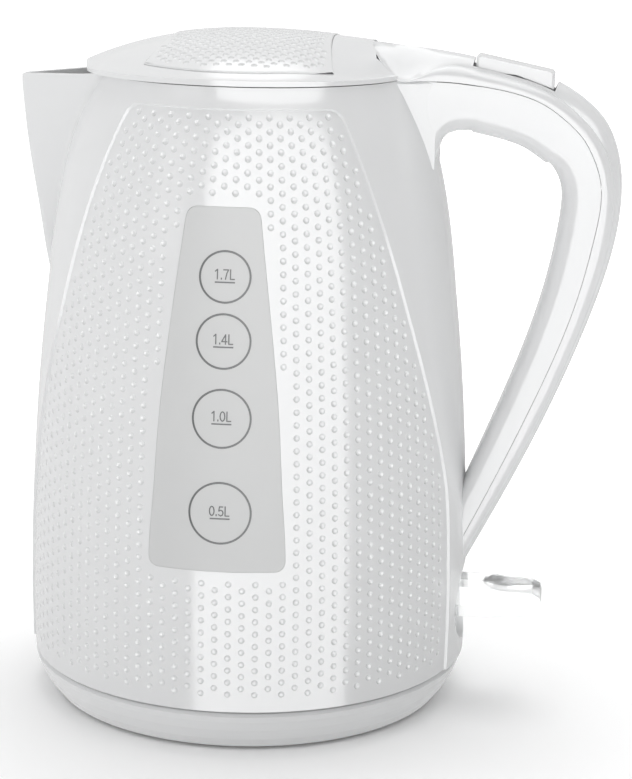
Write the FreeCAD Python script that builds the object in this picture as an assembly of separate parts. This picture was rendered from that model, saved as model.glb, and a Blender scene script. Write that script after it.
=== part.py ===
"""Cordless electric kettle on a round power base, built from its separate pieces.

Units are millimetres. The origin is the centre of the power base's underside, +Z is up,
the spout points along -X, the handle along +X and the water window along -Y.
"""
import FreeCAD, Part
import math
import os
from FreeCAD import Vector

# ---------------------------------------------------------------- driving dimensions
RIM_Z = 218.5              # top of the jug's rim
RIM_R = 52.7               # outside radius of the rim
BELLY_R = 77.5             # largest outside radius of the jug
SEAM_Z = 16.2              # underside of the jug, just above the power base
WALL = 2.6                 # wall of the moulded jug
SKIN = 2.0                 # wall of the smaller mouldings
GAP = 0.4                  # gap between pieces that move against each other

BASE_TOP_Z = 15.8          # top face of the power base
BASE_EDGE_R = 76.2         # widest radius of the power base
BASE_FOOT_R = 68.9         # radius at the lower edge of the power base
CHAMBER_FLOOR_Z = 52.0     # heating plate, the floor of the water chamber
PLATE_R = 65.2             # heating plate radius

LID_R = 53.5               # lid radius, and its reach to the handle side
LID_NOSE_X = 57.3          # the lid's reach to the spout side
LID_EDGE_Z = 220.4         # upper edge of the lid's side
LID_UNDER_Z = 218.9        # lower edge of the lid's side
CROWN_Z = 232.9            # highest point of the lid
TONGUE_HALF = 17.0         # half width of the handle cover's tongue where it meets the rim

HINGE_X = 51.5             # lid hinge axis, along Y
HINGE_Z = 217.0
PIN_R = 1.5                # lid hinge pin and lever pin
PIN_FIT = 0.05             # radial running clearance on a pin

LEVER_X = 62.0             # on/off lever axis, along Y
LEVER_Z = 36.0
LEVER_TIP_X = 104.6

STEAM_TUBE_R = 69.6        # the steam tube's distance from the centre at the jug's floor
STEAM_TUBE_DEG = 27.0      # its place round the jug, from the handle

BUTTON_X = 79.0            # lid button axis, along Y
BUTTON_Z = 223.1
BUTTON_PIN_R = 1.0

WINDOW_TOP_Z = 182.0
WINDOW_BOTTOM_Z = 64.5

CORD_Z = 8.3               # the hole for the supply cord, in the back of the base
CORD_HOLE_R = 3.4
CORD_COLLAR_R = 4.6

LID_CUP_R = 46.0           # the lid's underside, a cup in the jug's mouth
LID_CUP_Z = 209.0
LID_SCREW_POINTS = [(-30.0, 0.0), (0.0, 34.0), (0.0, -34.0)]

# outside of the jug from the seam to the rim: (radius, height)
JUG_OUTLINE = [(76.6, SEAM_Z), (BELLY_R, 35.0), (76.6, 71.5), (74.5, 108.0), (70.9, 145.0),
               (65.7, 181.5), (60.7, 200.0), (RIM_R, RIM_Z)]

# handle sections: centre x, centre z, thickness, half width
HANDLE_STATIONS = [
    (54.0, 214.2, 29.0, 17.0), (62.0, 214.4, 27.0, 14.5), (74.0, 213.5, 24.5, 13.2),
    (89.5, 210.4, 24.0, 13.0), (102.7, 205.2, 24.6, 13.0), (112.0, 196.8, 24.0, 13.0),
    (115.9, 183.5, 20.6, 13.0), (115.0, 168.5, 20.0, 13.0), (109.9, 146.7, 18.7, 12.6),
    (99.0, 114.5, 17.0, 11.6), (88.3, 89.2, 16.0, 10.4), (77.6, 64.5, 14.4, 9.2),
    (71.6, 51.0, 12.6, 8.6)]

# the seam between the handle's inner half and its cover: (x, z)
HANDLE_SEAM = [(50.0, 219.0), (70.5, 217.9), (88.0, 214.9), (101.2, 210.0), (111.0, 203.1),
               (117.0, 194.1), (119.2, 177.0), (113.8, 149.6), (102.3, 118.2), (87.1, 82.1),
               (74.5, 52.0), (70.0, 41.0)]


# ---------------------------------------------------------------- helpers
def cylinder(radius, z0, z1, x=0.0, y=0.0):
    return Part.makeCylinder(radius, z1 - z0, Vector(x, y, z0))


def ring(outer, inner, z0, z1, x=0.0, y=0.0):
    return cylinder(outer, z0, z1, x, y).cut(cylinder(inner, z0 - 1, z1 + 1, x, y))


def rod_y(radius, x, z, y0, y1):
    return Part.makeCylinder(radius, y1 - y0, Vector(x, y0, z), Vector(0, 1, 0))


def block(x0, x1, y0, y1, z0, z1):
    return Part.makeBox(x1 - x0, y1 - y0, z1 - z0, Vector(x0, y0, z0))


def turned(outline):
    """Turn a closed outline of (radius, height) points about the Z axis."""
    points = [Vector(r, 0, z) for r, z in outline]
    face = Part.Face(Part.makePolygon(points + [points[0]]))
    return face.revolve(Vector(0, 0, 0), Vector(0, 0, 1), 360)


def slab_y(outline, half_width):
    """A closed outline of (x, z) points, as thick as +-half_width along Y."""
    points = [Vector(x, -half_width, z) for x, z in outline]
    face = Part.Face(Part.makePolygon(points + [points[0]]))
    return face.extrude(Vector(0, 2 * half_width, 0))


def on_circle(count, radius, first_deg=0.0):
    """Points spread evenly on a circle about the Z axis."""
    angles = [math.radians(first_deg + 360.0 * k / count) for k in range(count)]
    return [(radius * math.cos(a), radius * math.sin(a)) for a in angles]


def screw_up(x, y, z_head, length, shank_r=1.4, head_r=2.8):
    """A pan-head screw driven upwards, its head's underside at z_head."""
    head = cylinder(head_r, z_head - 1.8, z_head, x, y)
    shank = cylinder(shank_r, z_head - 0.5, z_head + length, x, y)
    slot = block(x - 2.0, x + 2.0, y - 0.35, y + 0.35, z_head - 2.0, z_head - 1.1)
    return head.fuse(shank).cut(slot)


def strip_y(path, thickness, half_width):
    """A bent strip of sheet: the (x, z) path is one face, the other lies to its left."""
    other = []
    for n, (x, z) in enumerate(path):
        before, after = path[max(n - 1, 0)], path[min(n + 1, len(path) - 1)]
        along = Vector(after[0] - before[0], 0, after[1] - before[1]).normalize()
        other.append((x - along.z * thickness, z + along.x * thickness))
    return slab_y(path + other[::-1], half_width)


def group(shapes):
    return Part.makeCompound(shapes)


def jug_bulk(inset=0.0, z0=SEAM_Z, z1=RIM_Z):
    """The jug's outside as a solid, moved inwards by inset and kept between z0 and z1."""
    curve = Part.BSplineCurve()
    curve.interpolate([Vector(r - inset, 0, z) for r, z in JUG_OUTLINE])
    low, high = Vector(0, 0, SEAM_Z), Vector(0, 0, RIM_Z)
    first = Vector(JUG_OUTLINE[0][0] - inset, 0, SEAM_Z)
    last = Vector(JUG_OUTLINE[-1][0] - inset, 0, RIM_Z)
    edges = [Part.makeLine(low, first), curve.toShape(), Part.makeLine(last, high),
             Part.makeLine(high, low)]
    solid = Part.Face(Part.Wire(edges)).revolve(Vector(0, 0, 0), Vector(0, 0, 1), 360)
    return solid.common(cylinder(2 * BELLY_R, z0, z1))


# ---------------------------------------------------------------- lid crown
def ridge_height(x):
    """Height of the crown along the middle line, from the spout to the handle."""
    if x < 0:
        return CROWN_Z - 11.2 * (-x / 58.0) ** 2.3
    return CROWN_Z - 0.8 * (x / 22.0) ** 1.77


def crown_half_width(x):
    """Half width of the crown at x: the lid's outline, then the handle's root."""
    reach = LID_R if x > 0 else LID_NOSE_X
    inside = max(0.0, 1.0 - (x / reach) ** 2)
    return max(LID_R * math.sqrt(inside), TONGUE_HALF)


def crown_height(x, y):
    """The crown is a parabola across the lid and narrows to a ridge towards the handle."""
    fullness = max(0.0, 1.0 - (y / crown_half_width(x)) ** 2)
    narrowing = min(max((x - 15.0) / 33.0, 0.0), 1.0)
    power = 1.0 + 2.0 * narrowing ** 2
    return LID_EDGE_Z + (ridge_height(x) - LID_EDGE_Z) * fullness ** power


def crown_bulk(drop=0.0, bottom=200.0):
    """Everything under the crown surface, which is lowered by drop, down to bottom."""
    xs = [-60.0 + 6.0 * k for k in range(22)]
    grid = []
    for x in xs:
        half = crown_half_width(x) + 2.0
        row = [Vector(x, half * s / 10.0, crown_height(x, half * s / 10.0) - drop)
               for s in range(-10, 11)]
        grid.append(row)
    surface = Part.BSplineSurface()
    surface.interpolate(grid)
    return surface.toShape().extrude(Vector(0, 0, bottom - CROWN_Z))


def lid_plan(inset, z0, z1):
    """The lid's egg-shaped outline as a prism: round to the handle, longer to the spout."""
    prism_round = cylinder(LID_R - inset, z0, z1)
    egg = Part.Ellipse(Vector(0, 0, z0), LID_NOSE_X - inset, LID_R - inset)
    face = Part.Face(Part.Wire(egg.toShape()))
    prism_egg = face.extrude(Vector(0, 0, z1 - z0))
    spout_side = prism_egg.common(block(-90, 0, -90, 90, z0, z1))
    handle_side = prism_round.common(block(0, 90, -90, 90, z0, z1))
    return spout_side.fuse(handle_side).removeSplitter()


def knuckle(grow=0.0):
    """The tongue's nose, turned about the hinge axis so that the lid swings round it."""
    profile = [(0.0, 17.3), (8.0, 15.8), (15.0, 11.9), (17.2, 6.0), (18.6, 2.5)]
    half = [Vector(HINGE_X - r - grow, y, HINGE_Z) for y, r in profile]
    mirrored = [Vector(p.x, -p.y, p.z) for p in half[::-1]]
    points = mirrored[:-1] + half
    closing = [Vector(HINGE_X, half[-1].y, HINGE_Z), Vector(HINGE_X, -half[-1].y, HINGE_Z)]
    face = Part.Face(Part.makePolygon(points + closing + [points[0]]))
    return face.revolve(Vector(HINGE_X, 0, HINGE_Z), Vector(0, 1, 0), 360)


# ---------------------------------------------------------------- power base
def base_cover():
    outer = turned([(0, 1.4), (BASE_FOOT_R, 1.4), (71.8, 5.0), (74.2, 9.0), (75.7, 12.4),
                    (BASE_EDGE_R, 14.4), (75.4, 15.3), (74.0, BASE_TOP_Z), (0, BASE_TOP_Z)])
    inner = turned([(0, 1.0), (66.6, 1.0), (69.6, 5.0), (72.0, 9.4), (73.2, 13.4), (0, 13.4)])
    shell = outer.cut(inner).cut(cylinder(16.2, 10, 20))
    shell = shell.cut(Part.makeCylinder(CORD_COLLAR_R, 20, Vector(0, 62, CORD_Z), Vector(0, 1, 0)))
    bosses = [ring(4.0, 1.2, 3.9, 13.6, x, y) for x, y in on_circle(4, 46.0, 45.0)]
    return shell.multiFuse(bosses)


def base_plate():
    plate = cylinder(66.2, 1.5, 3.6)
    pad = cylinder(18.0, 0.0, 1.6)
    holes = [cylinder(1.6, 0, 5, x, y) for x, y in on_circle(4, 46.0, 45.0)]
    sinks = [cylinder(3.2, 0, 3.0, x, y) for x, y in on_circle(4, 46.0, 45.0)]
    seats = [cylinder(6.3, 0, 2.6, x, y) for x, y in on_circle(4, 56.0)]
    return plate.fuse(pad).cut(group(holes + sinks + seats))


def base_feet():
    return group([cylinder(6.0, 0.0, 2.6, x, y) for x, y in on_circle(4, 56.0)])


def base_screws():
    return group([screw_up(x, y, 3.0, 8.0, shank_r=1.2, head_r=2.7)
                  for x, y in on_circle(4, 46.0, 45.0)])


def base_connector():
    """The round tower that stands in the base and carries the live rings."""
    flange = cylinder(20.0, 10.6, 13.3)
    body = cylinder(16.0, 3.7, 10.7)
    tower = ring(12.5, 11.0, 10.6, 30.0)
    inner = ring(8.0, 6.4, 10.6, 28.0)
    core = ring(4.2, 1.9, 10.6, 26.0)
    return flange.fuse(body).multiFuse([tower, inner, core])


def base_contact_rings():
    return group([ring(10.9, 9.9, 13.4, 27.0), ring(6.3, 5.7, 13.4, 25.0)])


def base_contact_pin():
    pin = cylinder(1.8, 13.4, 28.0)
    return pin.fuse(Part.makeSphere(1.8, Vector(0, 0, 28.0)))


def cord_inlet():
    """A collar in the back of the base with the bore that a supply cord would fill."""
    body = Part.makeCylinder(CORD_COLLAR_R, 10.0, Vector(0, 63.4, CORD_Z), Vector(0, 1, 0))
    body = body.common(cylinder(73.2, 0, 20).cut(cylinder(64.0, -1, 21)))
    bore = Part.makeCylinder(CORD_HOLE_R, 30, Vector(0, 55, CORD_Z), Vector(0, 1, 0))
    return body.cut(bore)


# ---------------------------------------------------------------- jug
def window_prism(grow=0.0):
    """The water window's tapering outline, as a prism along Y on the -Y side."""
    widths = [(WINDOW_TOP_Z, 11.3), (160.0, 14.6), (137.0, 17.4), (111.0, 20.0), (72.0, 22.6),
              (WINDOW_BOTTOM_Z, 22.6)]
    right = [(w + grow, z) for z, w in widths]
    right[0] = (right[0][0], WINDOW_TOP_Z + grow)
    right[-1] = (right[-1][0], WINDOW_BOTTOM_Z - grow)
    left = [(-x, z) for x, z in right[::-1]]
    points = [Vector(x, -90, z) for x, z in right + left]
    face = Part.Face(Part.makePolygon(points + [points[0]]))
    prism = face.extrude(Vector(0, 60, 0))
    upright = [e for e in prism.Edges if abs(e.tangentAt(e.FirstParameter).y) > 0.99]
    corners = [e for e in upright
               if e.Vertexes[0].Z > WINDOW_TOP_Z - 1 or e.Vertexes[0].Z < WINDOW_BOTTOM_Z + 1]
    return prism.makeFillet(4.0, corners)


def water_window():
    pane = jug_bulk(0.15).cut(jug_bulk(WALL)).common(window_prism())
    lip = jug_bulk(WALL).cut(jug_bulk(WALL + 1.4)).common(window_prism(3.0))
    return pane.fuse(lip)


def spout_bulk(inset=0.0):
    """The spout: a keel-shaped wedge that grows out of the jug from z = 148 to the mouth."""
    # height, reach of the keel, half width where the wedge leaves the jug
    levels = [(146.0, 70.0, 1.2), (164.0, 73.9, 5.6), (190.0, 78.2, 10.8), (222.0, 81.9, 16.0)]
    wires = []
    for z, reach, half in levels:
        nose = min(2.6, 0.5 * half) - 0.35 * inset
        root = max(half - inset, 0.4)
        points = [Vector(-44, -root, z), Vector(-57, -root, z),
                  Vector(-reach + inset + 1.5, -nose, z), Vector(-reach + inset, 0, z),
                  Vector(-reach + inset + 1.5, nose, z), Vector(-57, root, z),
                  Vector(-44, root, z)]
        wires.append(Part.makePolygon(points + [points[0]]))
    return Part.makeLoft(wires, True, True)


def above_mouth():
    """The space above the spout's edge, which drops from the lid to the tip."""
    return slab_y([(-95, 215.4), (-57, 219.4), (-57, 240), (-95, 240)], 40)


def handle_bulk(inset=0.0):
    """The handle as a loft of rounded sections, square to its centre line."""
    wires = []
    stations = HANDLE_STATIONS
    for k, (x, z, thick, half) in enumerate(stations):
        before = stations[max(k - 1, 0)]
        after = stations[min(k + 1, len(stations) - 1)]
        along = Vector(after[0] - before[0], 0, after[1] - before[1]).normalize()
        across = Vector(-along.z, 0, along.x)
        wires.append(rounded_section(Vector(x, 0, z), across, thick / 2 - inset, half - inset))
    return Part.makeLoft(wires, True, False)


def rounded_section(centre, across, half_thick, half_wide):
    """A rounded rectangle in the plane of Y and the given direction across."""
    corner = 0.62 * min(half_thick, half_wide)
    side = Vector(0, 1, 0)

    def at(u, v):
        return centre + across * u + side * v
    a, b = half_thick, half_wide
    k = corner * (1 - math.sqrt(0.5))
    starts = [(a, b - corner), (-a + corner, b), (-a, -b + corner), (a - corner, -b)]
    mids = [(a - k, b - k), (-a + k, b - k), (-a + k, -b + k), (a - k, -b + k)]
    ends = [(a - corner, b), (-a, b - corner), (-a + corner, -b), (a, -b + corner)]
    edges = []
    for n in range(4):
        start, mid, end = starts[n], mids[n], ends[n]
        edges.append(Part.Arc(at(*start), at(*mid), at(*end)).toShape())
        following = starts[(n + 1) % 4]
        edges.append(Part.makeLine(at(*end), at(*following)))
    return Part.Wire(edges)


def seam_side(outer, shift=0.0):
    """The region on one side of the handle seam: the cover's side or the jug's side."""
    curve = Part.BSplineCurve()
    points = [Vector(x - shift, -40, z - shift) for x, z in HANDLE_SEAM]
    curve.interpolate(points)
    first, last = points[0], points[-1]
    if outer:
        corners = [Vector(160, -40, last.z), Vector(160, -40, 260), Vector(first.x, -40, 260)]
    else:
        corners = [Vector(0, -40, last.z), Vector(0, -40, first.z)]
    chain = [last] + corners + [first]
    edges = [curve.toShape()]
    edges += [Part.makeLine(chain[n], chain[n + 1]) for n in range(len(chain) - 1)]
    return Part.Face(Part.Wire(edges)).extrude(Vector(0, 80, 0))


def lever_scoop(grow=0.0):
    """The oval hollow in the jug's foot round the on/off lever."""
    oval = Part.Ellipse(Vector(0, 0, 0), 19.0 + grow, 14.0 + grow).toShape()
    face = Part.Face(Part.Wire(oval))
    prism = face.extrude(Vector(0, 0, 30))
    prism.rotate(Vector(0, 0, 0), Vector(0, 0, 1), 90)
    prism.rotate(Vector(0, 0, 0), Vector(0, 1, 0), 90)
    prism.translate(Vector(70.0 - grow, 0, LEVER_Z - 1.0))
    return prism


def lever_slot():
    return block(50, 80, -7.6, 7.6, LEVER_Z - 9.5, LEVER_Z + 6.4)


def jug_shell():
    """Jug, spout and the handle's inner half, moulded in one piece."""
    inside_lid = lid_plan(-0.6, RIM_Z - 0.2, 260)
    bulk = jug_bulk().fuse(spout_bulk().cut(above_mouth()))
    hollow = jug_bulk(WALL, SEAM_Z - 1, CHAMBER_FLOOR_Z - 5)
    hollow = hollow.fuse(jug_bulk(WALL, CHAMBER_FLOOR_Z - 2, RIM_Z))
    hollow = hollow.fuse(cylinder(PLATE_R - 3.2, 30, 90))
    hollow = hollow.fuse(spout_bulk(2.2).common(block(-90, -40, -30, 30, 156, 230)))
    wall = bulk.cut(hollow).cut(window_prism())

    half = handle_bulk().common(seam_side(False)).cut(jug_bulk(0.0, 0, 300))
    half = half.cut(handle_bulk(SKIN).common(block(50, 140, -30, 30, 60, 240)))
    joined = wall.fuse(half)
    hinge_pocket = block(43, 57.4, -14.8, 14.8, 202.6, 230)
    joined = joined.cut(hinge_pocket.fuse(inside_lid))
    joined = joined.fuse(handle_web()).fuse(spring_shelf())
    joined = joined.cut(steam_tube_run(3.5)).cut(latch_way())

    pocket = lever_scoop(SKIN).common(jug_bulk())
    joined = joined.fuse(pocket).cut(lever_scoop()).cut(lever_slot())
    ear = block(58, 70, 8.0, 10.4, LEVER_Z - 4, LEVER_Z + 4)
    ears = ear.fuse(ear.mirror(Vector(0, 0, 0), Vector(0, 1, 0)))
    pin_hole = rod_y(PIN_R, LEVER_X, LEVER_Z, -20, 20)
    return joined.fuse(ears).cut(pin_hole)


def latch_way():
    """The slot that the latch slider runs through."""
    return block(30, 80, -3.4, 3.4, 202.9, 206.1)


def handle_web():
    """The wall that closes the handle off from the jug and carries the hinge bracket."""
    web = block(57.4, 59.4, -15.5, 15.5, 200, 216).common(handle_bulk())
    return web.cut(latch_way()).cut(bracket_screws())


def spring_shelf():
    return block(83.0, 94.0, -11.6, 11.6, 206.3, 207.8)


def hinge_bracket():
    """Carries the lid hinge pin on a middle bar and two cheeks, behind the jug's rim."""
    foot = block(54.7, 57.4, -14.4, 14.4, 203, 214)
    bar = block(49.8, 57.4, -4.7, 4.7, 213.0, 219.0)
    cheek = block(49.8, 57.4, 9.9, 12.4, 213.0, 219.0)
    cheeks = cheek.fuse(cheek.mirror(Vector(0, 0, 0), Vector(0, 1, 0)))
    body = foot.multiFuse([bar, cheeks])
    body = body.cut(rod_y(PIN_R, HINGE_X, HINGE_Z, -20, 20))
    return body.cut(latch_way()).cut(bracket_screws())


def bracket_screws():
    screws = []
    for y in (-9.0, 9.0):
        head = Part.makeCylinder(2.6, 1.7, Vector(53.0, y, 209.0), Vector(1, 0, 0))
        shank = Part.makeCylinder(1.4, 10.0, Vector(53.0, y, 209.0), Vector(1, 0, 0))
        screws.append(head.fuse(shank))
    return group(screws)


def hinge_pin():
    return rod_y(PIN_R, HINGE_X, HINGE_Z, -12.4, 12.4)


def steam_tube_run(radius):
    """The steam tube's run: slanted inside the jug's wall, then straight through its floor."""
    top, elbow = Vector(50.5, 0, 198), Vector(STEAM_TUBE_R, 0, 57)
    foot = Vector(STEAM_TUBE_R, 0, 43.5)
    run = tube_along(top, elbow, radius).fuse(tube_along(elbow, foot, radius))
    run = run.fuse(Part.makeSphere(radius, elbow))
    run.rotate(Vector(0, 0, 0), Vector(0, 0, 1), STEAM_TUBE_DEG)
    return run


def steam_tube():
    """Leads steam from under the lid down to the cut-out in the control."""
    return steam_tube_run(3.5).cut(steam_tube_run(2.6))


def tube_along(start, end, radius):
    line = end - start
    return Part.makeCylinder(radius, line.Length, start, line)


def heating_plate():
    plate = cylinder(PLATE_R, CHAMBER_FLOOR_Z - 6.4, CHAMBER_FLOOR_Z - 5.2)
    dish = turned([(0, 45.6), (60.5, 45.6), (60.5, CHAMBER_FLOOR_Z), (0, CHAMBER_FLOOR_Z)])
    inside = turned([(0, 44.0), (59.3, 44.0), (59.3, CHAMBER_FLOOR_Z - 1.2),
                     (0, CHAMBER_FLOOR_Z - 1.2)])
    return plate.fuse(dish).cut(inside)


def plate_seal():
    return ring(61.9, 60.6, CHAMBER_FLOOR_Z - 5.1, CHAMBER_FLOOR_Z - 1.0)


def heating_element():
    """A sheathed heater bent to a ring, brazed under the plate, with two cold ends."""
    ring_bar = Part.makeTorus(42.0, 3.6, Vector(0, 0, 47.0), Vector(0, 0, 1))
    gap = block(-60, -20, -9, 9, 30, 60)
    ends = [cylinder(2.2, 38.0, 47.0, -41.0, y) for y in (-11.0, 11.0)]
    return ring_bar.cut(gap).multiFuse(ends)


def control_unit():
    """The thermostat control: switch chamber, arms for the bimetals and the lever's link."""
    body = block(-24, 24, -19, 19, 31.4, 42.0)
    steam_arm = block(23, 54, -6, 6, 32.5, 41.0)
    lugs = [cylinder(4.5, 38.0, 42.0, x, y) for x, y in control_screw_points()]
    holes = [cylinder(1.6, 30, 44, x, y) for x, y in control_screw_points()]
    seats = [cylinder(8.4, 40.4, 43, x, 0) for x in (-12.0, 12.0)]
    return body.fuse(steam_arm).multiFuse(lugs).cut(group(holes + seats))


def control_screw_points():
    return [(-20.0, 22.0), (-20.0, -22.0), (20.0, 22.0)]


def control_screws():
    return group([screw_up(x, y, 38.0, 8.0, shank_r=1.5) for x, y in control_screw_points()])


def bimetal_discs():
    return group([cylinder(8.0, 40.5, 41.3, x, 0) for x in (-12.0, 12.0)])


def lower_cover():
    """The jug's underside, which stands on the power base."""
    disc = cylinder(73.6, SEAM_Z + 0.1, SEAM_Z + 2.8)
    rim = ring(73.6, 71.6, SEAM_Z + 2.7, SEAM_Z + 8.0)
    rim = rim.cut(block(55, 80, -24, 24, SEAM_Z + 2.8, SEAM_Z + 9))
    holes = [cylinder(1.7, 15, 30, x, y) for x, y in on_circle(3, 60.0, 60.0)]
    sinks = [cylinder(3.1, 15, SEAM_Z + 1.9, x, y) for x, y in on_circle(3, 60.0, 60.0)]
    return disc.fuse(rim).cut(cylinder(19.0, 10, 30)).cut(group(holes + sinks))


def cover_screws():
    return group([screw_up(x, y, SEAM_Z + 1.9, 9.0) for x, y in on_circle(3, 60.0, 60.0)])


def connector_socket():
    """The round socket in the jug's underside that drops over the base's tower."""
    shell = ring(18.4, 13.0, SEAM_Z + 0.3, 31.0)
    roof = cylinder(18.4, 30.6, 31.3)
    sleeve = ring(9.0, 8.3, 20.0, 30.8)
    core = ring(5.0, 4.5, 22.0, 30.8)
    return shell.multiFuse([roof, sleeve, core])


def socket_contacts():
    """Three contacts that meet the base's two rings and its pin."""
    outer = block(9.0, 9.6, -1.5, 1.5, 21.0, 30.5)
    inner = block(5.0, 5.4, -1.2, 1.2, 23.0, 30.5)
    centre = cylinder(1.5, 30.1, 30.6)
    return group([outer, inner, centre])


# ---------------------------------------------------------------- handle cover
def handle_cover():
    """The handle's outer half with the tongue that reaches into the lid."""
    outer = handle_bulk().common(seam_side(True, -0.12)).cut(block(0, 58.0, -40, 40, 190, 260))
    outer = outer.cut(handle_bulk(SKIN)).cut(jug_bulk(-0.3, 0, 300))
    skin = crown_bulk().cut(crown_bulk(SKIN))
    strip = skin.common(block(HINGE_X, 66.0, -TONGUE_HALF, TONGUE_HALF, 210, 250))
    strip = strip.common(handle_root_plan())
    nose_plan = block(20, HINGE_X + 0.1, -TONGUE_HALF, TONGUE_HALF, 210, 250)
    nose = skin.common(nose_plan).common(knuckle())
    front = knuckle().cut(knuckle(-SKIN)).common(block(20, 46, -4.8, 4.8, 219.5, 250))
    front = front.common(crown_bulk())
    cover = outer.fuse(strip).fuse(nose).fuse(front)
    return cover.cut(button_opening()).cut(button_pin())


def handle_root_plan():
    """Plan of the cover between the lid and the handle, narrowing into the handle."""
    points = [(HINGE_X, -TONGUE_HALF), (58.0, -15.2), (66.0, -13.0), (66.0, 13.0), (58.0, 15.2),
              (HINGE_X, TONGUE_HALF)]
    wire = Part.makePolygon([Vector(x, y, 205) for x, y in points + [points[0]]])
    return Part.Face(wire).extrude(Vector(0, 0, 40))


def button_opening():
    return slab_y([(74.9, 235), (74.9, 215), (103.2, 210), (103.2, 235)], 6.6)


# ---------------------------------------------------------------- lid
def insert_plan(grow, z0, z1):
    """The waisted patch across the lid, from the front edge to the back."""
    depth = 48.7 + grow
    waist, end = 27.4 + grow, 31.2 + grow
    corner_y = math.sqrt(depth ** 2 - end ** 2)
    right_front = Vector(end, -corner_y, z0)
    right_back = Vector(end, corner_y, z0)
    left_front = Vector(-end, -corner_y, z0)
    left_back = Vector(-end, corner_y, z0)
    edges = [Part.Arc(left_front, Vector(0, -depth, z0), right_front).toShape(),
             Part.Arc(right_front, Vector(waist, 0, z0), right_back).toShape(),
             Part.Arc(right_back, Vector(0, depth, z0), left_back).toShape(),
             Part.Arc(left_back, Vector(-waist, 0, z0), left_front).toShape()]
    return Part.Face(Part.Wire(edges)).extrude(Vector(0, 0, z1 - z0))


def lid_top():
    outside = crown_bulk().common(lid_plan(0.0, LID_UNDER_Z, 260))
    inside = crown_bulk(SKIN + 1.0).common(lid_plan(SKIN, 190, 260))
    shell = outside.cut(inside).cut(knuckle(GAP))
    pocket = insert_plan(0.0, 215, 250).cut(crown_bulk(1.2))
    behind = block(HINGE_X, 90, -30, 30, 200, 260)
    bosses = [cylinder(3.4, LID_CUP_Z + SKIN + 0.1, 240, x, y).common(crown_bulk(SKIN))
              for x, y in LID_SCREW_POINTS]
    return shell.cut(pocket).cut(behind).multiFuse(bosses).cut(lid_screws())


def lid_insert():
    pad = crown_bulk(-0.5).cut(crown_bulk(1.2))
    return pad.common(insert_plan(-0.15, 215, 250)).cut(knuckle(GAP))


def lid_inner():
    """The lid's underside: a cup in the jug's mouth, with two ears on the hinge pin."""
    cup = cylinder(LID_CUP_R, LID_CUP_Z, 240)
    cup = cup.cut(cylinder(LID_CUP_R - SKIN, LID_CUP_Z + SKIN, 250))
    cup = cup.common(crown_bulk(SKIN + 1.0)).cut(knuckle(GAP))
    neck = [(33.0, 206.6), (38.5, 205.6), (45.5, 208.2), (51.5, 213.4), (54.2, 215.4),
            (51.5, 217.0), (48.4, 215.0), (44.5, 211.8), (38.4, 208.9), (36.4, 209.6),
            (33.0, 212.0)]
    arms = []
    for side in (-1, 1):
        arm = slab_y(neck, 1.7).fuse(rod_y(3.2, HINGE_X, HINGE_Z, -1.7, 1.7))
        arm.translate(Vector(0, side * 7.2, 0))
        arms.append(arm)
    catch = block(31.0, 34.0, -4.0, 4.0, 206.0, LID_CUP_Z + 0.5)
    body = cup.multiFuse(arms + [catch])
    body = body.cut(rod_y(PIN_R + PIN_FIT, HINGE_X, HINGE_Z, -20, 20))
    return body.cut(lid_screws())


def lid_seal():
    seal = ring(48.4, LID_CUP_R + 0.05, 212.0, 215.0)
    return seal.cut(knuckle(GAP + 0.3)).cut(block(30, 60, -16, 16, 200, 230))


def lid_screws():
    return group([screw_up(x, y, LID_CUP_Z + 0.2, 8.0)
                  for x, y in LID_SCREW_POINTS])


# ---------------------------------------------------------------- lid button and latch
def lid_button():
    """The press button on top of the handle, proud of it most at the back."""
    cap = slab_y([(75.4, 226.2), (77.2, 227.4), (99.8, 223.4), (102.0, 221.4), (102.0, 216.6),
                  (99.0, 217.0), (79.0, 221.0), (75.4, 222.4)], 6.0)
    stem = slab_y([(96.0, 218.6), (98.4, 218.2), (98.4, 208.8), (96.0, 208.8)], 2.0)
    return cap.fuse(stem).cut(rod_y(BUTTON_PIN_R + PIN_FIT, BUTTON_X, BUTTON_Z, -9, 9))


def button_pin():
    return rod_y(BUTTON_PIN_R, BUTTON_X, BUTTON_Z, -8.4, 8.4)


def button_spring():
    """A leaf spring that stands on its shelf and holds the button up."""
    path = [(84.2, 207.9), (90.6, 207.9), (92.4, 208.8), (92.2, 210.8), (87.4, 218.9)]
    return strip_y(path, 0.5, 2.6)


def latch_slider():
    """Slides back and lets go of the lid's catch when the button's stem rides down its ramp."""
    bar = block(35.6, 104.4, -3.0, 3.0, 203.4, 205.6)
    ramp = slab_y([(95.2, 205.4), (95.2, 206.7), (104.4, 211.8), (104.4, 205.4)], 2.0)
    return bar.fuse(ramp)


# ---------------------------------------------------------------- on/off lever
def switch_lever():
    """The clear paddle, its hub on a pin inside the jug's foot."""
    hub = rod_y(4.2, LEVER_X, LEVER_Z, -7.0, 7.0)
    arm = block(LEVER_X, 74.0, -7.0, 7.0, LEVER_Z - 3.4, LEVER_Z + 3.4)
    outline = [(72.0, 30.8), (86.0, 30.8), (102.4, 32.0), (104.3, 34.0), (LEVER_TIP_X, 36.6),
               (104.0, 39.0), (101.4, 40.3), (88.0, 41.2), (72.0, 41.6)]
    paddle = slab_y(outline, 8.6)
    dish = Part.makeSphere(34.0, Vector(95.0, 0, 73.4))
    body = hub.fuse(arm).fuse(paddle).cut(dish)
    return body.cut(rod_y(PIN_R + PIN_FIT, LEVER_X, LEVER_Z, -20, 20))


def lever_pin():
    return rod_y(PIN_R, LEVER_X, LEVER_Z, -11.5, 11.5)


# ---------------------------------------------------------------- spout filter
def filter_frame():
    """A snap-in frame behind the spout's mouth."""
    outer = block(-50.5, -48.5, -12.0, 12.0, 176.0, 206.0)
    return outer.cut(block(-60, -40, -10.0, 10.0, 178.0, 204.0))


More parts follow.
